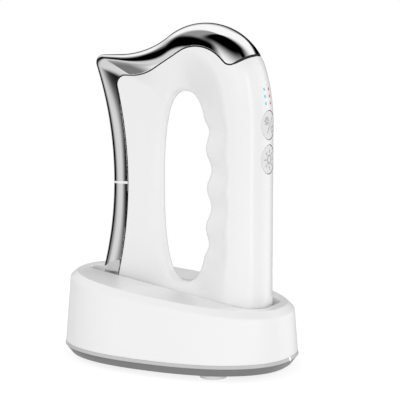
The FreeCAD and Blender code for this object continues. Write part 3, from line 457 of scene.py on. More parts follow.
def quads(stations, rows, close_stations, close_rows):
    """Faces of a grid whose points are numbered station by station."""
    faces = []
    for k in range(stations if close_stations else stations - 1):
        after = (k + 1) % stations
        for r in range(rows if close_rows else rows - 1):
            up = (r + 1) % rows
            faces.append([k * rows + r, after * rows + r, after * rows + up, k * rows + up])
    return faces


def ring_faces(count, rings):
    """Faces between rings of count points each, with a cap on the first and last ring."""
    faces = quads(rings, count, False, True)
    faces.append(list(range(count)))
    faces.append(list(range((rings - 1) * count, rings * count))[::-1])
    return faces


def make_piece(name, points, faces, lift=0.0, sharp_angle=35.0):
    """Object with smooth shading up to a sharp angle."""
    mesh = new_mesh(name, points, faces, lift)[0]
    mesh.shade_smooth()
    mesh.set_sharp_from_angle(angle=math.radians(sharp_angle))
    return add_object(name, mesh)


def cut_away(obj, cutters):
    """Cuts closed forms, given as points and faces, out of an object. The cut faces take the slot of the
    painted shade.
    """
    for number, (points, faces) in enumerate(cutters):
        mesh = new_mesh(f"cutter_{number}", points, faces)[0]
        for slot in range(SLOT_COUNT):
            mesh.materials.append(None)
        mesh.polygons.foreach_set("material_index", [PAINTED_SHADE_SLOT] * len(mesh.polygons))
        tool = add_object(f"cutter_{number}", mesh)
        modifier = obj.modifiers.new("cut", "BOOLEAN")
        modifier.operation = "DIFFERENCE"
        modifier.solver = "EXACT"
        modifier.object = tool
    shown = obj.evaluated_get(bpy.context.evaluated_depsgraph_get())
    result = bpy.data.meshes.new_from_object(shown)
    tools = [modifier.object for modifier in obj.modifiers]
    obj.modifiers.clear()
    obj.data = result
    for tool in tools:
        bpy.data.objects.remove(tool)


def rod(centre, axis, radius, start, finish, count):
    """Closed round bar along one of the axes X, Y or Z, as points and faces."""
    turns = np.linspace(0, 2 * math.pi, count, endpoint=False)
    others = [k for k in range(3) if k != axis]
    points = []
    for place in (start, finish):
        ring = np.tile(np.asarray(centre, float), (count, 1))
        ring[:, others[0]] += radius * np.cos(turns)
        ring[:, others[1]] += radius * np.sin(turns)
        ring[:, axis] = place
        points.append(ring)
    return np.concatenate(points), ring_faces(count, 2)


# Handset shells
def rounded_edge(skin, first_offset, last_offset, angles):
    """Rows that roll over a seam's edge, with their normals, where each station has metal."""
    start = skin.seam(first_offset)[:, None]
    finish = skin.seam(last_offset)[:, None]
    has_metal = (skin.seam(0.0) < LAST_V)[:, None]
    reach = last_offset - first_offset
    rows = []
    normals = []
    face_out = skin.normals(start)
    sideways = skin.points(finish) - skin.points(start)
    sideways = sideways - face_out * np.sum(sideways * face_out, axis=2, keepdims=True)
    sideways = unit(sideways)
    for angle in angles:
        v = skin.seam(first_offset + reach * math.sin(angle))[:, None]
        drop = abs(reach) * (1 - math.cos(angle)) * has_metal
        out = skin.normals(v)
        rows.append(skin.points(v) - out * drop[..., None])
        normals.append(unit(out * math.cos(angle) + sideways * math.sin(angle) * has_metal[..., None]))
    return np.concatenate(rows, axis=1), np.concatenate(normals, axis=1)


def shell_rows():
    """Rows round the wall of the near half shell at each station, and the normals of those outside."""
    v = np.minimum(OUTSIDE.seam(-SHELL_EDGE_ROUND)[:, None], np.linspace(0, LAST_V, OUTSIDE_ROWS))
    angles = np.linspace(0, math.pi / 2, ROUND_ROWS + 1)[1:]
    edge, edge_normals = rounded_edge(OUTSIDE, -SHELL_EDGE_ROUND, 0.0, angles)
    step_start = UNDER_METAL.seam(0.0)[:, None]
    step_v = step_start + (LAST_V - step_start) * np.linspace(0, 1, STEP_ROWS)
    step = UNDER_METAL.points(step_v)
    bare = OUTSIDE.seam(0.0) >= LAST_V
    step[bare] = OUTSIDE.points(np.full((len(OUTER), 1), LAST_V))[bare]
    inside = INSIDE.points(np.tile(np.linspace(LAST_V, 0, INSIDE_ROWS), (len(OUTER), 1)))
    rows = np.concatenate([OUTSIDE.points(v), edge, step, inside], axis=1)
    normals = np.concatenate([OUTSIDE.normals(v), edge_normals], axis=1)
    return rows, normals


def set_skin_normals(mesh, tree, corners, corner_normals):
    """Gives the outside faces the exact surface's normals and leaves the other faces flat."""
    exact = {}
    loop_normals = np.zeros((len(mesh.loops), 3))
    for polygon in mesh.polygons:
        outside = polygon.material_index == OUTSIDE_SLOT
        polygon.use_smooth = outside
        for loop in polygon.loop_indices:
            if not outside:
                loop_normals[loop] = polygon.normal
                continue
            vertex = mesh.loops[loop].vertex_index
            if vertex not in exact:
                nearest = tree.find_nearest(mesh.vertices[vertex].co)
                spot = nearest[0]
                face = nearest[2]
                shares = poly_3d_calc([Vector(corner) for corner in corners[face]], spot)
                exact[vertex] = np.array(shares) @ corner_normals[face]
            loop_normals[loop] = exact[vertex]
    mesh.normals_split_custom_set(unit(loop_normals).tolist())


def skin_piece(name, rows, normals, faces, step_rows, finishes, cutters=()):
    """Closed piece with holes cut in it: its first rows are the exact outside, and the next ones a step."""
    count = rows.shape[1]
    outside_rows = normals.shape[1]
    mesh, sources = new_mesh(name, rows.reshape(-1, 3), faces, SEAT)
    grid_normals = np.zeros_like(rows)
    grid_normals[:, :outside_rows] = normals
    grid_normals = grid_normals.reshape(-1, 3)
    for polygon, source in zip(mesh.polygons, sources):
        highest = max(k % count for k in source)
        lowest = min(k % count for k in source)
        # The step under the metal and the last rows of the rolled edge beside it take the painted shade of
        # the groove
        painted_shade = step_rows and outside_rows - 1 - PAINTED_SHADE_ROWS <= lowest and highest < outside_rows + step_rows
        plain = OUTSIDE_SLOT if highest < outside_rows else INSIDE_SLOT
        polygon.material_index = PAINTED_SHADE_SLOT if painted_shade else plain
    points = (rows.reshape(-1, 3) + np.array([0, 0, SEAT])) * MM
    outside = [source for source in sources if max(k % count for k in source) < outside_rows]
    corners = [points[source] for source in outside]
    corner_normals = [grid_normals[source] for source in outside]
    used = sorted({k for source in outside for k in source})
    number = {k: j for j, k in enumerate(used)}
    tree = BVHTree.FromPolygons([points[k].tolist() for k in used],
                                [[number[k] for k in source] for source in outside])
    obj = add_object(name, mesh)
    for slot in range(SLOT_COUNT):
        mesh.materials.append(None)
    if cutters:
        cut_away(obj, cutters)
    set_skin_normals(obj.data, tree, corners, corner_normals)
    for slot, finish in enumerate(finishes):
        obj.data.materials[slot] = materials[finish]
    return obj


def light_places():
    """Places (y, z) of the lights, column by column."""
    columns = (-LIGHT_SPREAD / 2, LIGHT_SPREAD / 2)
    return [(y, LIGHT_HEIGHT + LIGHT_PITCH * step) for y in columns for step in (-1, 0, 1)]


def build_shells():
    rows, normals = shell_rows()
    faces = quads(rows.shape[0], rows.shape[1], True, True)
    cutters = []
    reach = (THICK_LINE_X, BACK_CUT_END)
    for z in BUTTON_HEIGHTS.values():
        cutters.append(rod((0, 0, z + SEAT), 0, BUTTON_RADIUS + BUTTON_GAP, *reach, BUTTON_HOLE_POINTS))
    for y, z in light_places():
        cutters.append(rod((0, y, z + SEAT), 0, LIGHT_RADIUS + LIGHT_GAP, *reach, LIGHT_HOLE_POINTS))
    reach = (SEAT - PAD_HOLE_BELOW, SEAT + PAD_HOLE_ABOVE)
    for x in PAD_X:
        cutters.append(rod((x, 0, 0), 2, PAD_HOLE_RADIUS, *reach, PAD_HOLE_POINTS))
    # The third finish is painted shade for the seam's groove and the walls of the holes
    finishes = ("white_plastic", "white_plastic", "seam_painted_shade")
    near = skin_piece("near_shell_skin", rows, normals, faces, STEP_ROWS, finishes, cutters)
    far = skin_piece("far_shell_skin", rows * MIRROR, normals * MIRROR, faces, STEP_ROWS, finishes, cutters)
    for obj, node in ((near, "near_shell"), (far, "far_shell")):
        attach(obj, "handset")
        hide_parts(node)


def metal_rows():
    """Rows round the metal's wall at each station, outside and then back inside, and the normals outside."""
    angles = np.linspace(math.pi / 2, 0, ROUND_ROWS + 1)[:-1]
    edge, edge_normals = rounded_edge(OUTSIDE, SEAM_GAP + METAL_EDGE_ROUND, SEAM_GAP, angles)
    v = np.maximum(OUTSIDE.seam(SEAM_GAP + METAL_EDGE_ROUND)[:, None], np.linspace(0, LAST_V, METAL_ROWS))
    outside = np.concatenate([edge, OUTSIDE.points(v)], axis=1)
    normals = np.concatenate([edge_normals, OUTSIDE.normals(v)], axis=1)
    inner_v = np.maximum(UNDER_METAL.seam(SEAM_GAP)[:, None], np.linspace(0, LAST_V, METAL_ROWS))
    inside = UNDER_METAL.points(inner_v)
    rows = [outside, outside[:, -2::-1] * MIRROR, inside * MIRROR, inside[:, -2::-1]]
    return np.concatenate(rows, axis=1), np.concatenate([normals, normals[:, -2::-1] * MIRROR], axis=1)


def build_metal():
    rows, normals = metal_rows()
    has_metal = OUTSIDE.seam(SEAM_GAP + METAL_EDGE_ROUND) < LAST_V
    first, last = np.flatnonzero(has_metal)[[0, -1]]
    front = OUTER[:, 0] < 0
    low = np.argmin(np.where(front, np.abs(OUTER[:, 1] - SPLIT_LOW), np.inf))
    high = np.argmin(np.where(front, np.abs(OUTER[:, 1] - SPLIT_HIGH), np.inf))
    spans = {"head_electrode": (first, high, "polished_metal"),
             "electrode_spacer": (high, low, "white_plastic"),
             "front_electrode": (low, last, "polished_metal")}
    for node, (start, finish, slot) in spans.items():
        part = rows[start:finish + 1]
        faces = ring_faces(part.shape[1], len(part))
        obj = skin_piece(f"{node}_skin", part, normals[start:finish + 1], faces, 0, (slot, slot, slot))
        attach(obj, "handset")
        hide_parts(node)


# Buttons and lights
def back_surface():
    """Both halves of the outside, to find where a line along X meets the back."""
    v = np.tile(np.linspace(0, LAST_V, OUTSIDE_ROWS), (len(OUTER), 1))
    near = OUTSIDE.points(v).reshape(-1, 3)
    faces = quads(len(OUTER), OUTSIDE_ROWS, True, False)
    both = np.concatenate([near, near * MIRROR])
    return BVHTree.FromPolygons(both.tolist(), faces + [[k + len(near) for k in face] for face in faces])


BACK = back_surface()


def back_x(y, z):
    """Where a line along X meets the back, kept off the middle plane that the two halves share."""
    off_seam = y if abs(y) > SEAM_NUDGE else SEAM_NUDGE
    return BACK.ray_cast(Vector((RAY_START, off_seam, z)), Vector((-1, 0, 0)))[0].x


def stroke_distance(a, b, start, finish):
    """Distance of points (a, b) from a straight stroke."""
    start = np.array(start)
    way = np.array(finish) - start
    share = np.clip(((a - start[0]) * way[0] + (b - start[1]) * way[1]) / (way @ way), 0, 1)
    return np.hypot(a - start[0] - share * way[0], b - start[1] - share * way[1])


def ringed(a, b, middle, radius, spokes, start, finish):
    """Distance of points (a, b) from a ring with short spokes round it."""
    distance = np.abs(np.hypot(a - middle[0], b - middle[1]) - radius)
    for k in range(spokes):
        way = np.array([math.sin(2 * math.pi * k / spokes), math.cos(2 * math.pi * k / spokes)])
        distance = np.minimum(distance, stroke_distance(a, b, middle + way * start, middle + way * finish))
    return distance


def light_mark(a, b):
    """Sun: a ring with eight short rays."""
    return ringed(a, b, np.zeros(2), radius=2.1, spokes=8, start=3.6, finish=5.0)


def mode_mark(a, b):
    """Small cog and a ring with one tick, on either side of a slash."""
    slash = stroke_distance(a, b, start=(-2.4, -3.7), finish=(3.0, 3.5))
    cog = ringed(a, b, np.array([-2.9, 2.3]), radius=1.1, spokes=8, start=1.5, finish=2.1)
    switch = ringed(a, b, np.array([3.5, -2.2]), radius=1.6, spokes=1, start=1.0, finish=2.3)
    return np.minimum(slash, np.minimum(cog, switch))


def build_button(name, mark):
    """Cap that follows the back's curve, with a rounded edge and its mark raised on it."""
    middle = BUTTON_HEIGHTS[name]
    turns = np.linspace(0, 2 * math.pi, BUTTON_POINTS, endpoint=False)
    radii = list(np.linspace(BUTTON_MIDDLE, BUTTON_RADIUS - BUTTON_EDGE_ROUND, BUTTON_RINGS))
    drops = [0.0] * len(radii)
    for angle in np.linspace(0, math.pi / 2, ROLL_ANGLES)[1:]:
        radii.append(BUTTON_RADIUS - BUTTON_EDGE_ROUND * (1 - math.sin(angle)))
        drops.append(BUTTON_EDGE_ROUND * (1 - math.cos(angle)))
    radii.append(BUTTON_RADIUS)
    drops.append(BUTTON_DEPTH)
    points = []
    for radius, drop in zip(radii, drops):
        a = radius * np.cos(turns)
        b = radius * np.sin(turns)
        back = np.array([back_x(y, middle + z) for y, z in zip(a, b)])
        raised = MARK_RISE * smoothstep((MARK_HALF_WIDTH + MARK_SLOPE - mark(a, b)) / MARK_SLOPE)
        points.append(np.stack([back - drop + raised, a, b + middle], axis=1))
    faces = ring_faces(BUTTON_POINTS, len(radii))
    obj = make_piece(f"{name}_button_cap", np.concatenate(points), faces, SEAT, sharp_angle=50.0)
    obj.data.materials.append(materials["button_plastic"])
    # Faces on the raised marks take a darker paint: painted shade standing in for the shading of their
    # relief
    obj.data.materials.append(materials["button_mark_painted_shade"])
    spots = np.array([polygon.center for polygon in obj.data.polygons]) / MM
    near_mark = mark(spots[:, 1], spots[:, 2] - SEAT - middle) < MARK_HALF_WIDTH + MARK_SLOPE / 2
    on_mark = near_mark & (spots[:, 0] > BUTTON_FACE_X)
    obj.data.polygons.foreach_set("material_index", on_mark.astype(np.int32))
    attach(obj, f"{name}_key")
    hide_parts(f"{name}_button")


def build_lights():
    """Light pipes with domed ends, three to a column."""
    turns = np.linspace(0, 2 * math.pi, LIGHT_POINTS, endpoint=False)
    profile = [(LIGHT_RADIUS, -LIGHT_DEPTH), (LIGHT_RADIUS, -LIGHT_RIM)]
    for angle in np.linspace(0, math.pi / 2, ROLL_ANGLES)[1:-1]:
        profile.append((LIGHT_RADIUS * math.cos(angle), LIGHT_DOME * math.sin(angle)))
    profile.append((LIGHT_TIP, LIGHT_DOME))
    pipe = ring_faces(LIGHT_POINTS, len(profile))
    for colour, way in (("blue", -1), ("red", 1)):
        points = []
        faces = []
        for y, z in light_places():
            if y * way < 0:
                continue
            first = len(points) * LIGHT_POINTS
            faces += [[first + k for k in face] for face in pipe]
            for radius, rise in profile:
                a = y + radius * np.cos(turns)
                b = z + radius * np.sin(turns)
                back = np.array([back_x(*spot) for spot in zip(a, b)])
                points.append(np.stack([back + rise, a, b], axis=1))
        obj = make_piece(f"{colour}_indicator_lenses", np.concatenate(points), faces, SEAT, sharp_angle=60.0)
        obj.data.materials.append(materials[f"{colour}_lens"])
        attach(obj, "handset")
        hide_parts(f"{colour}_indicators")


# Dock
def dock_turns():
    """Turns at which the dock's oval is drawn, evenly spaced along it."""
    fine = np.linspace(0, 2 * math.pi, OVAL_SAMPLES)
    run = run_lengths(oval(fine, 0.0))
    return np.interp(np.linspace(0, run[-1], DOCK_STATIONS + 1)[:-1], run, fine)


def oval(turns, inset):
    """Points of the dock's oval, drawn in by an inset."""
    power = 2 / DOCK_SQUARENESS
    return np.stack([(DOCK_HALF_LENGTH - inset) * bulged(np.cos(turns), power),
                     (DOCK_HALF_WIDTH - inset) * bulged(np.sin(turns), power)], axis=-1)


TURNS = dock_turns()


def oval_ring(inset, z):
    flat = oval(TURNS, inset)
    return np.column_stack([flat, np.broadcast_to(z, len(flat))])


def deck_z(x):
    return SHELL_BOTTOM + DECK_HEIGHT - x * DECK_SLOPE


def fillet(last, corner, after, radius, count):
    """Rows of points that round a corner between two others, at each station."""
    to_last = unit(last - corner)
    to_next = unit(after - corner)
    half = np.arccos(np.clip(np.sum(to_last * to_next, axis=1), -1, 1))[:, None] / 2
    middle = corner + unit(to_last + to_next) * radius / np.sin(half)
    start = corner + to_last * radius / np.tan(half) - middle
    finish = corner + to_next * radius / np.tan(half) - middle
    return [middle + radius * unit(start + (finish - start) * share) for share in np.linspace(0, 1, count)]


def deck_edge(inset_more, drop):
    """Ring where the wall, drawn in by an inset, meets the deck lowered by a drop."""
    height = np.full(len(TURNS), DECK_HEIGHT)
    for step in range(DECK_STEPS):
        flat = oval(TURNS, height * WALL_DRAFT + inset_more)
        height = deck_z(flat[:, 0]) - drop - SHELL_BOTTOM
    return np.column_stack([flat, height + SHELL_BOTTOM])


def socket_cut():
    """Rounded slot through the dock's wall, a little larger than the charging socket."""
    low, high = (np.array(corner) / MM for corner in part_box("charging_socket"))
    radius = (high[2] - low[2]) / 2 + SOCKET_GAP
    half = (high[0] - low[0]) / 2 - (high[2] - low[2]) / 2
    turns = np.linspace(0, 2 * math.pi, SOCKET_POINTS, endpoint=False)
    x = (low[0] + high[0]) / 2 + half * np.sign(np.cos(turns)) + radius * np.cos(turns)
    z = (low[2] + high[2]) / 2 + radius * np.sin(turns)
    points = np.concatenate([np.stack([x, np.full(SOCKET_POINTS, y), z], axis=1) for y in SOCKET_CUT])
    return points, ring_faces(SOCKET_POINTS, 2)


def build_dock_shell():
    """Shell with a slanted deck and the handset's well, in rings from the well's underside to its floor."""
    bottom = oval_ring(0.0, SHELL_BOTTOM)
    edge = deck_edge(0.0, 0.0)
    wall_way = unit(bottom - edge)
    chamfer_low = edge + wall_way * DECK_CHAMFER
    inner = deck_edge(DECK_CHAMFER, 0.0)
    ring = rounded(WELL, closed=True)
    outline = evenly(np.concatenate([ring, ring[:1]]), FINE_STEP)
    tangent = unit(np.gradient(outline, axis=0))
    nearest = np.argmin(np.linalg.norm(inner[:, None, :2] - outline[None], axis=2), axis=1)
    well = outline[nearest]
    outward = np.stack([tangent[nearest, 1], -tangent[nearest, 0]], axis=1)
    outward *= np.sign(np.sum(outward * (inner[:, :2] - well), axis=1))[:, None]

    def well_ring(offset, z):
        flat = well + outward * offset
        return np.column_stack([flat, np.broadcast_to(z, len(flat))])

    lip_flat = well + outward * WELL_LIP
    lip = np.column_stack([lip_flat, deck_z(lip_flat[:, 0])])
    mouth = np.column_stack([well, deck_z(well[:, 0])])
    floor = well_ring(0.0, FLOOR_TOP)
    under_flat = well + outward * WELL_WALL
    under = np.column_stack([under_flat, deck_z(under_flat[:, 0]) - DOCK_WALL])
    foot = oval_ring(DOCK_WALL, SHELL_BOTTOM)
    rings = [well_ring(WELL_WALL, FLOOR_BOTTOM), under, deck_edge(DOCK_WALL, DOCK_WALL), foot]
    rings += fillet(foot, bottom, chamfer_low, BOTTOM_ROUND, count=4)
    rings += fillet(bottom, chamfer_low, inner, CHAMFER_ROUND, count=8)
    rings += fillet(chamfer_low, inner, lip, DECK_EDGE_ROUND, count=5)
    rings += [(inner + lip) / 2]
    rings += fillet(lip, mouth, floor, WELL_EDGE_ROUND, count=6)
    rings += fillet(mouth, floor, well_ring(-FLOOR_STEP, FLOOR_TOP), FLOOR_ROUND, count=4)
    faces = ring_faces(len(TURNS), len(rings))
    obj = make_piece("dock_shell_body", np.concatenate(rings), faces, sharp_angle=28.0)
    cutters = [socket_cut()]
    for x in PAD_X:
        reach = (FLOOR_BOTTOM - CUT_MARGIN, FLOOR_TOP + CUT_MARGIN)
        cutters.append(rod((x, 0, 0), 2, PIN_HOLE_RADIUS, *reach, PIN_HOLE_POINTS))
    cut_away(obj, cutters)
    obj.data.materials.clear()
    obj.data.materials.append(materials["dock_plastic"])
    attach(obj, "dock")
    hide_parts("dock_shell")


def window_cut():
    """Block that leaves room in the trim for the indicator's window."""
    low, high = (np.array(corner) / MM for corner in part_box("dock_indicator"))
    sides = [(low[0] - CUT_MARGIN, low[1]), (high[0] + CUT_MARGIN, low[1]),
             (high[0] + CUT_MARGIN, high[1]), (low[0] - CUT_MARGIN, high[1])]
    points = np.array([(x, y, z) for z in (low[2] - CUT_MARGIN, high[2] + CUT_MARGIN) for x, y in sides])
    return points, ring_faces(len(sides), 2)


def build_trim():
    corners = [(-TRIM_FLARE, TRIM_BOTTOM, TRIM_LOW_ROUND), (0.0, SHELL_BOTTOM, TRIM_TOP_ROUND),
               (TRIM_WIDTH, SHELL_BOTTOM, TRIM_BACK_ROUND), (TRIM_WIDTH, TRIM_BOTTOM, TRIM_BACK_ROUND)]
    profile = rounded(corners, closed=True)
    points = np.concatenate([oval_ring(inset, z) for inset, z in profile])
    faces = quads(len(profile), len(TURNS), True, True)
    obj = make_piece("dock_trim_ring", points, faces, sharp_angle=30.0)
    cut_away(obj, [window_cut()])
    obj.data.materials.clear()
    obj.data.materials.append(materials["light_grey_plastic"])
    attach(obj, "dock")
    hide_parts("dock_trim")


def build_base():
    corners = [(BASE_FLOOR_REACH, BASE_BOTTOM, 0.0), (BASE_INSET, BASE_BOTTOM, BASE_LOW_ROUND),
               (-TRIM_FLARE / 2, TRIM_BOTTOM, BASE_RIM_ROUND), (BASE_WALL, TRIM_BOTTOM, BASE_RIM_ROUND),
               (BASE_WALL, BASE_FLOOR_TOP, 0.0), (BASE_FLOOR_REACH, BASE_FLOOR_TOP, 0.0)]
    profile = rounded(corners, closed=False)
    points = np.concatenate([oval_ring(inset, z) for inset, z in profile])
    obj = make_piece("dock_base_pan", points, ring_faces(len(TURNS), len(profile)), sharp_angle=30.0)
    obj.data.materials.append(materials["dark_grey_plastic"])
    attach(obj, "dock")
    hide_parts("dock_base")


def build_feet():
    turns = np.linspace(0, 2 * math.pi, FOOT_POINTS, endpoint=False)
    corners = [(FOOT_MIDDLE, 0.0, 0.0), (FOOT_RADIUS, 0.0, FOOT_ROUND),
               (FOOT_RADIUS, BASE_BOTTOM, FOOT_TOP_ROUND), (FOOT_MIDDLE, BASE_BOTTOM, 0.0)]
    profile = rounded(corners, closed=False)
    pad = ring_faces(FOOT_POINTS, len(profile))
    points = []
    faces = []
    for x, y in FEET:
        first = len(points) * FOOT_POINTS
        faces += [[first + k for k in face] for face in pad]
        for radius, z in profile:
            ring = [x + radius * np.cos(turns), y + radius * np.sin(turns), np.full(FOOT_POINTS, z)]
            points.append(np.column_stack(ring))
    obj = make_piece("dock_foot_pads", np.concatenate(points), faces, sharp_angle=30.0)
    obj.data.materials.append(materials["pale_rubber"])
    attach(obj, "dock")
    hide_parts("dock_feet")


def build_springs():
    """Coil springs under the contact pins."""
    for side in ("left", "right"):
        low, high = (np.array(corner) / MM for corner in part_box(f"{side}_pin_spring"))
        turns = np.linspace(0, 2 * math.pi * SPRING_TURNS, SPRING_RINGS)
        middle = (low + high) / 2
        radius = (high[1] - low[1] - SPRING_WIRE) / 2
        rise = (high[2] - low[2] - SPRING_WIRE) / turns[-1]
        out = np.stack([np.cos(turns), np.sin(turns), 0 * turns], axis=1)
        way = unit(np.stack([-radius * np.sin(turns), radius * np.cos(turns), rise + 0 * turns], axis=1))
        line = middle + radius * out
        line[:, 2] = low[2] + SPRING_WIRE / 2 + rise * turns
        wire = np.linspace(0, 2 * math.pi, SPRING_RING_POINTS, endpoint=False)[None, :, None]
        round_wire = np.cos(wire) * out[:, None] + np.sin(wire) * np.cross(way, out)[:, None]
        rings = line[:, None] + SPRING_WIRE / 2 * round_wire
        faces = ring_faces(SPRING_RING_POINTS, SPRING_RINGS)
        obj = make_piece(f"{side}_spring_coil", rings.reshape(-1, 3), faces)
        obj.data.materials.append(materials["steel"])
        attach(obj, "dock")
        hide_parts(f"{side}_pin_spring")
        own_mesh(obj)


# Materials
materials = {}
NOISE_DETAIL = 3.0
TINT_ENDS = (0.3, 0.7)
BUMP_HEIGHT = 0.0002


def surface(name, colour, roughness, metallic=0.0, grain=700.0, tint=0.03, rough_change=0.06, bump=0.0,
            **sockets):
    """Adds a finish whose colour and gloss vary with a fine noise, and its height where bump is set."""
    material = bpy.data.materials.new(name)
    material.use_nodes = True
    tree = material.node_tree
    shader = tree.nodes["Principled BSDF"]
    shader.inputs["Metallic"].default_value = metallic
    for socket, value in sockets.items():
        shader.inputs[socket.replace("_", " ")].default_value = value
    place = tree.nodes.new("ShaderNodeTexCoord")
    noise = tree.nodes.new("ShaderNodeTexNoise")
    noise.inputs["Scale"].default_value = grain
    noise.inputs["Detail"].default_value = NOISE_DETAIL
    tree.links.new(place.outputs["Object"], noise.inputs["Vector"])
    ramp = tree.nodes.new("ShaderNodeValToRGB")
    ends = ramp.color_ramp.elements
    for end, position, change in zip(ends, TINT_ENDS, (1 - tint, 1 + tint)):
        end.position = position
        end.color = [min(1.0, part * change) for part in colour] + [1.0]
    tree.links.new(noise.outputs["Fac"], ramp.inputs["Fac"])
    tree.links.new(ramp.outputs["Color"], shader.inputs["Base Color"])
    gloss = tree.nodes.new("ShaderNodeMapRange")
    gloss.inputs["To Min"].default_value = max(0.0, roughness - rough_change)
    gloss.inputs["To Max"].default_value = roughness + rough_change
    tree.links.new(noise.outputs["Fac"], gloss.inputs["Value"])
    tree.links.new(gloss.outputs["Result"], shader.inputs["Roughness"])
    if bump:
        relief = tree.nodes.new("ShaderNodeBump")
        relief.inputs["Strength"].default_value = bump
        relief.inputs["Distance"].default_value = BUMP_HEIGHT
        tree.links.new(noise.outputs["Fac"], relief.inputs["Height"])
        tree.links.new(relief.outputs["Normal"], shader.inputs["Normal"])
    materials[name] = material


surface("white_plastic", (0.86, 0.86, 0.86), 0.26, grain=2200, tint=0.006, rough_change=0.03)
surface("dock_plastic", (0.86, 0.86, 0.86), 0.36, grain=2200, tint=0.006, bump=0.02)
surface("polished_metal", (0.93, 0.93, 0.93), 0.02, 1.0, grain=350, tint=0.008, rough_change=0.012)
surface("button_plastic", (0.76, 0.76, 0.76), 0.38, grain=2600, tint=0.01, bump=0.06)
# Darker paint for the buttons' raised marks: painted shade of their relief
surface("button_mark_painted_shade", (0.44, 0.44, 0.44), 0.45, grain=2600, tint=0.02, bump=0.06)
surface("blue_lens", (0.02, 0.40, 0.60), 0.2, grain=900, tint=0.05,
        Emission_Color=(0.0, 0.65, 1.0, 1.0), Emission_Strength=0.4)
surface("red_lens", (0.52, 0.035, 0.012), 0.2, grain=900, tint=0.05,
        Emission_Color=(1.0, 0.10, 0.03, 1.0), Emission_Strength=0.28)
surface("clear_lens", (0.88, 0.89, 0.90), 0.15, grain=900, tint=0.03,
        Emission_Color=(1.0, 1.0, 1.0, 1.0), Emission_Strength=0.5)
surface("light_grey_plastic", (0.54, 0.54, 0.54), 0.35, grain=1800, tint=0.02, bump=0.05)
surface("dark_grey_plastic", (0.172, 0.172, 0.172), 0.42, grain=1800, tint=0.04, bump=0.1)
# Feet: pale rubber set darker than its own tone, partly painted shade for the shadow under the dock
surface("pale_rubber", (0.66, 0.66, 0.66), 0.6, grain=1500, tint=0.03, bump=0.15)
surface("circuit_board", (0.02, 0.16, 0.06), 0.35, grain=600, tint=0.25, bump=0.1)
surface("black_plastic", (0.02, 0.02, 0.022), 0.4, grain=1500, tint=0.1, bump=0.1)
surface("steel", (0.60, 0.60, 0.61), 0.3, 1.0, grain=900, tint=0.05)
surface("gold_contact", (0.90, 0.68, 0.30), 0.22, 1.0, grain=900, tint=0.05)
surface("cell_wrap", (0.05, 0.20, 0.45), 0.3, grain=500, tint=0.06, bump=0.05)
surface("wire_sleeve", (0.55, 0.05, 0.05), 0.45, grain=1500, tint=0.1, bump=0.1)
surface("soft_rubber", (0.06, 0.06, 0.06), 0.75, grain=1500, tint=0.1, bump=0.2)
# Near black paint that stands in for the shade in the seam's groove and the walls of cut holes: painted
# shade
surface("seam_painted_shade", (0.03, 0.03, 0.03), 0.7, grain=1500, tint=0.1, bump=0.1)
surface("brass_weight", (0.75, 0.58, 0.30), 0.35, 1.0, grain=900, tint=0.06)


def dress_nodes():
    """Gives every node of the model the finish that its record names."""
    for part in frame["record"]["subparts"]:
        mesh = nodes[part["node"]].data
        mesh.materials.clear()
        mesh.materials.append(materials[part["material_slot"]])


# Stage, in metres
CAMERA_PLACE = Vector((0.3354, -0.6456, 0.18265))
CAMERA_BACK = Vector((0.4442, -0.886, 0.133)).normalized()
LENS = 126.0
SENSOR = 36.0
WORLD_FILL = 0.55
FLOOR_FILL = 0.60
FLOOR_GLOW = 0.80
FLOOR_RADIUS = 0.32
FLOOR_POINTS = 128
FLOOR_COLOUR = (0.30, 0.30, 0.30, 1)
DOME_MIDDLE = (0.0, 0.0, 0.1)
DOME_RADIUS = 2.2
DOME_STEP = 1.5
DOME_LOW = -60.0
DOME_TOP = 90.0
LAMP_AIM = (0.0, 0.0, 0.08)
LAMP_DISTANCE = 1.6

# Soft lamps: azimuth and elevation in degrees, width, height, power, and whether the metal mirrors them
LAMPS = {
    "front_lamp": (-65, 10, 0.7, 0.7, 9.0, False),
    "left_lamp": (-165, 40, 0.7, 0.7, 7.0, False),
    "back_lamp": (60, 10, 0.7, 0.7, 10.0, False),
    "right_lamp": (-18, 5, 0.28, 1.1, 3.0, True),
}

# Dark cards on the dome: azimuths, elevations and soft edges (left, right, low, high) in degrees, and
# darkness from 0 to 1
CARDS = {
    "front": ((-180, -98), (-2, 44), (25, 18, 10, 12), 1.0),
    "upper_veil": ((-190, -100), (20, 110), (30, 20, 10, 30), 0.7),
    "top": ((-135, 65), (20, 100), (15, 40, 35, 5), 1.0),
    "right_line": ((-15, 25), (38, 75), (12, 12, 8, 10), 1.0),
    "low_right": ((-129, 60), (-40, 16), (12, 40, 10, 15), 1.0),
    "left_edge": ((150, 222), (-30, 40), (10, 30, 10, 30), 1.0),
    "low_left": ((-200, -134), (-50, -5), (10, 16, 10, 8), 0.8),
    "left_veil": ((-160, -120), (-25, 10), (10, 10, 10, 10), 0.3),
    "right_edge": ((65, 110), (-25, 28), (10, 10, 5, 6), 1.0),
    "far": ((90, 150), (-25, 45), (10, 15, 5, 30), 1.0),
}


def direction(azimuth, elevation):
    """Unit vectors that point in directions given in degrees."""
    turn = np.radians(azimuth)
    lift = np.radians(elevation)
    return np.stack([np.cos(turn) * np.cos(lift), np.sin(turn) * np.cos(lift), np.sin(lift)], axis=-1)


def build_camera():
    data = bpy.data.cameras.new("camera")
    data.lens = LENS
    data.sensor_width = SENSOR
    camera = add_object("camera", data)
    right = Vector((0, 0, 1)).cross(CAMERA_BACK).normalized()
    up = CAMERA_BACK.cross(right)
    turn = Matrix((right, up, CAMERA_BACK)).transposed()
    camera.matrix_world = Matrix.Translation(CAMERA_PLACE) @ turn.to_4x4()
    bpy.context.scene.camera = camera


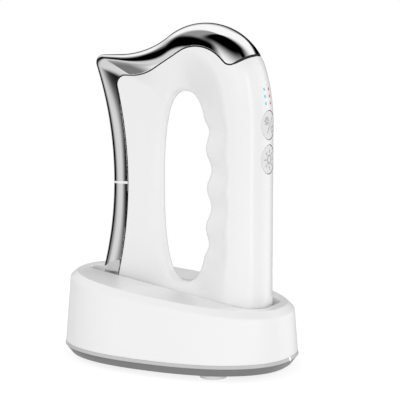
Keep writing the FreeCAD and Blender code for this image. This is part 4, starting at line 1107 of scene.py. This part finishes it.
def seen_strength(tree, socket, fill, shown):
    """Sets one strength for the light that a backdrop gives, and one for where it is seen.

    It counts as seen by the camera, in a mirror and through something clear.
    """
    path = tree.nodes.new("ShaderNodeLightPath")
    seen = path.outputs["Is Camera Ray"]
    for rays in ("Is Glossy Ray", "Is Transmission Ray"):
        either = tree.nodes.new("ShaderNodeMath")
        either.operation = "MAXIMUM"
        tree.links.new(seen, either.inputs[0])
        tree.links.new(path.outputs[rays], either.inputs[1])
        seen = either.outputs[0]
    strength = tree.nodes.new("ShaderNodeMapRange")
    strength.inputs["To Min"].default_value = fill
    strength.inputs["To Max"].default_value = shown
    tree.links.new(seen, strength.inputs["Value"])
    tree.links.new(strength.outputs["Result"], socket)


def build_world():
    world = bpy.data.worlds.new("studio")
    bpy.context.scene.world = world
    world.use_nodes = True
    background = world.node_tree.nodes["Background"]
    background.inputs["Color"].default_value = (1, 1, 1, 1)
    seen_strength(world.node_tree, background.inputs["Strength"], WORLD_FILL, 1.0)


def build_floor():
    """Round table that glows about as white as the backdrop, and keeps the object's soft shadow."""
    turns = np.linspace(0, 2 * math.pi, FLOOR_POINTS, endpoint=False)
    mesh = bpy.data.meshes.new("floor")
    rim = FLOOR_RADIUS * np.stack([np.cos(turns), np.sin(turns), np.zeros(FLOOR_POINTS)], axis=1)
    mesh.from_pydata(rim.tolist(), [], [list(range(FLOOR_POINTS))])
    floor = add_object("floor", mesh)
    material = bpy.data.materials.new("floor")
    material.use_nodes = True
    tree = material.node_tree
    tree.nodes.clear()
    matt = tree.nodes.new("ShaderNodeBsdfDiffuse")
    matt.inputs["Color"].default_value = FLOOR_COLOUR
    glow = tree.nodes.new("ShaderNodeEmission")
    seen_strength(tree, glow.inputs["Strength"], FLOOR_FILL, FLOOR_GLOW)
    both = tree.nodes.new("ShaderNodeAddShader")
    output = tree.nodes.new("ShaderNodeOutputMaterial")
    tree.links.new(matt.outputs[0], both.inputs[0])
    tree.links.new(glow.outputs[0], both.inputs[1])
    tree.links.new(both.outputs[0], output.inputs["Surface"])
    mesh.materials.append(material)
    floor.visible_glossy = False


def card_shade(card, turn, lift):
    """How far a dark card covers each direction, from 0 to its darkness."""
    azimuths, elevations, soft, darkness = card
    middle = sum(azimuths) / 2
    turn = (turn - middle + 180) % 360 - 180 + middle
    sides = smoothstep((turn - azimuths[0]) / soft[0]) * smoothstep((azimuths[1] - turn) / soft[1])
    ends = smoothstep((lift - elevations[0]) / soft[2]) * smoothstep((elevations[1] - lift) / soft[3])
    return darkness * sides * ends


def build_cards():
    """Dome round the object that only reflections show: clear, with the studio's dark cards on it."""
    turns = np.arange(0.0, 360.0, DOME_STEP)
    lifts = np.arange(DOME_LOW, DOME_TOP + DOME_STEP / 2, DOME_STEP)
    turn, lift = np.meshgrid(turns, lifts, indexing="ij")
    points = np.array(DOME_MIDDLE) + DOME_RADIUS * direction(turn, lift).reshape(-1, 3)
    clear = np.ones_like(turn)
    for card in CARDS.values():
        clear = clear * (1 - card_shade(card, turn, lift))
    mesh = bpy.data.meshes.new("reflection_dome")
    mesh.from_pydata(points.tolist(), [], quads(*turn.shape, True, False))
    mesh.shade_smooth()
    shade = mesh.attributes.new("shade", "FLOAT", "POINT")
    shade.data.foreach_set("value", (1 - clear).ravel())
    dome = add_object("reflection_dome", mesh)
    for rays in ("camera", "diffuse", "transmission", "volume_scatter", "shadow"):
        setattr(dome, f"visible_{rays}", False)
    material = bpy.data.materials.new("reflection_dome")
    material.use_nodes = True
    tree = material.node_tree
    tree.nodes.clear()
    density = tree.nodes.new("ShaderNodeAttribute")
    density.attribute_name = "shade"
    open_part = tree.nodes.new("ShaderNodeBsdfTransparent")
    dark_part = tree.nodes.new("ShaderNodeEmission")
    dark_part.inputs["Strength"].default_value = 0.0
    mix = tree.nodes.new("ShaderNodeMixShader")
    output = tree.nodes.new("ShaderNodeOutputMaterial")
    tree.links.new(density.outputs["Fac"], mix.inputs[0])
    tree.links.new(open_part.outputs[0], mix.inputs[1])
    tree.links.new(dark_part.outputs[0], mix.inputs[2])
    tree.links.new(mix.outputs[0], output.inputs["Surface"])
    mesh.materials.append(material)


def build_lamps():
    """Soft lamps at one distance, turned to the object's middle."""
    for name, (azimuth, elevation, width, height, power, mirrored) in LAMPS.items():
        data = bpy.data.lights.new(name, "AREA")
        data.shape = "RECTANGLE"
        data.size = width
        data.size_y = height
        data.energy = power
        way = Vector(direction(azimuth, elevation))
        obj = add_object(name, data)
        obj.location = Vector(LAMP_AIM) + LAMP_DISTANCE * way
        obj.rotation_euler = (-way).to_track_quat("-Z", "Y").to_euler()
        obj.visible_glossy = mirrored


dress_nodes()
build_shells()
build_metal()
build_button("mode", mode_mark)
build_button("light", light_mark)
build_lights()
build_dock_shell()
build_trim()
build_base()
build_feet()
build_springs()
build_camera()
build_world()
build_floor()
build_cards()
build_lamps()
bpy.context.scene.view_settings.view_transform = "Standard"
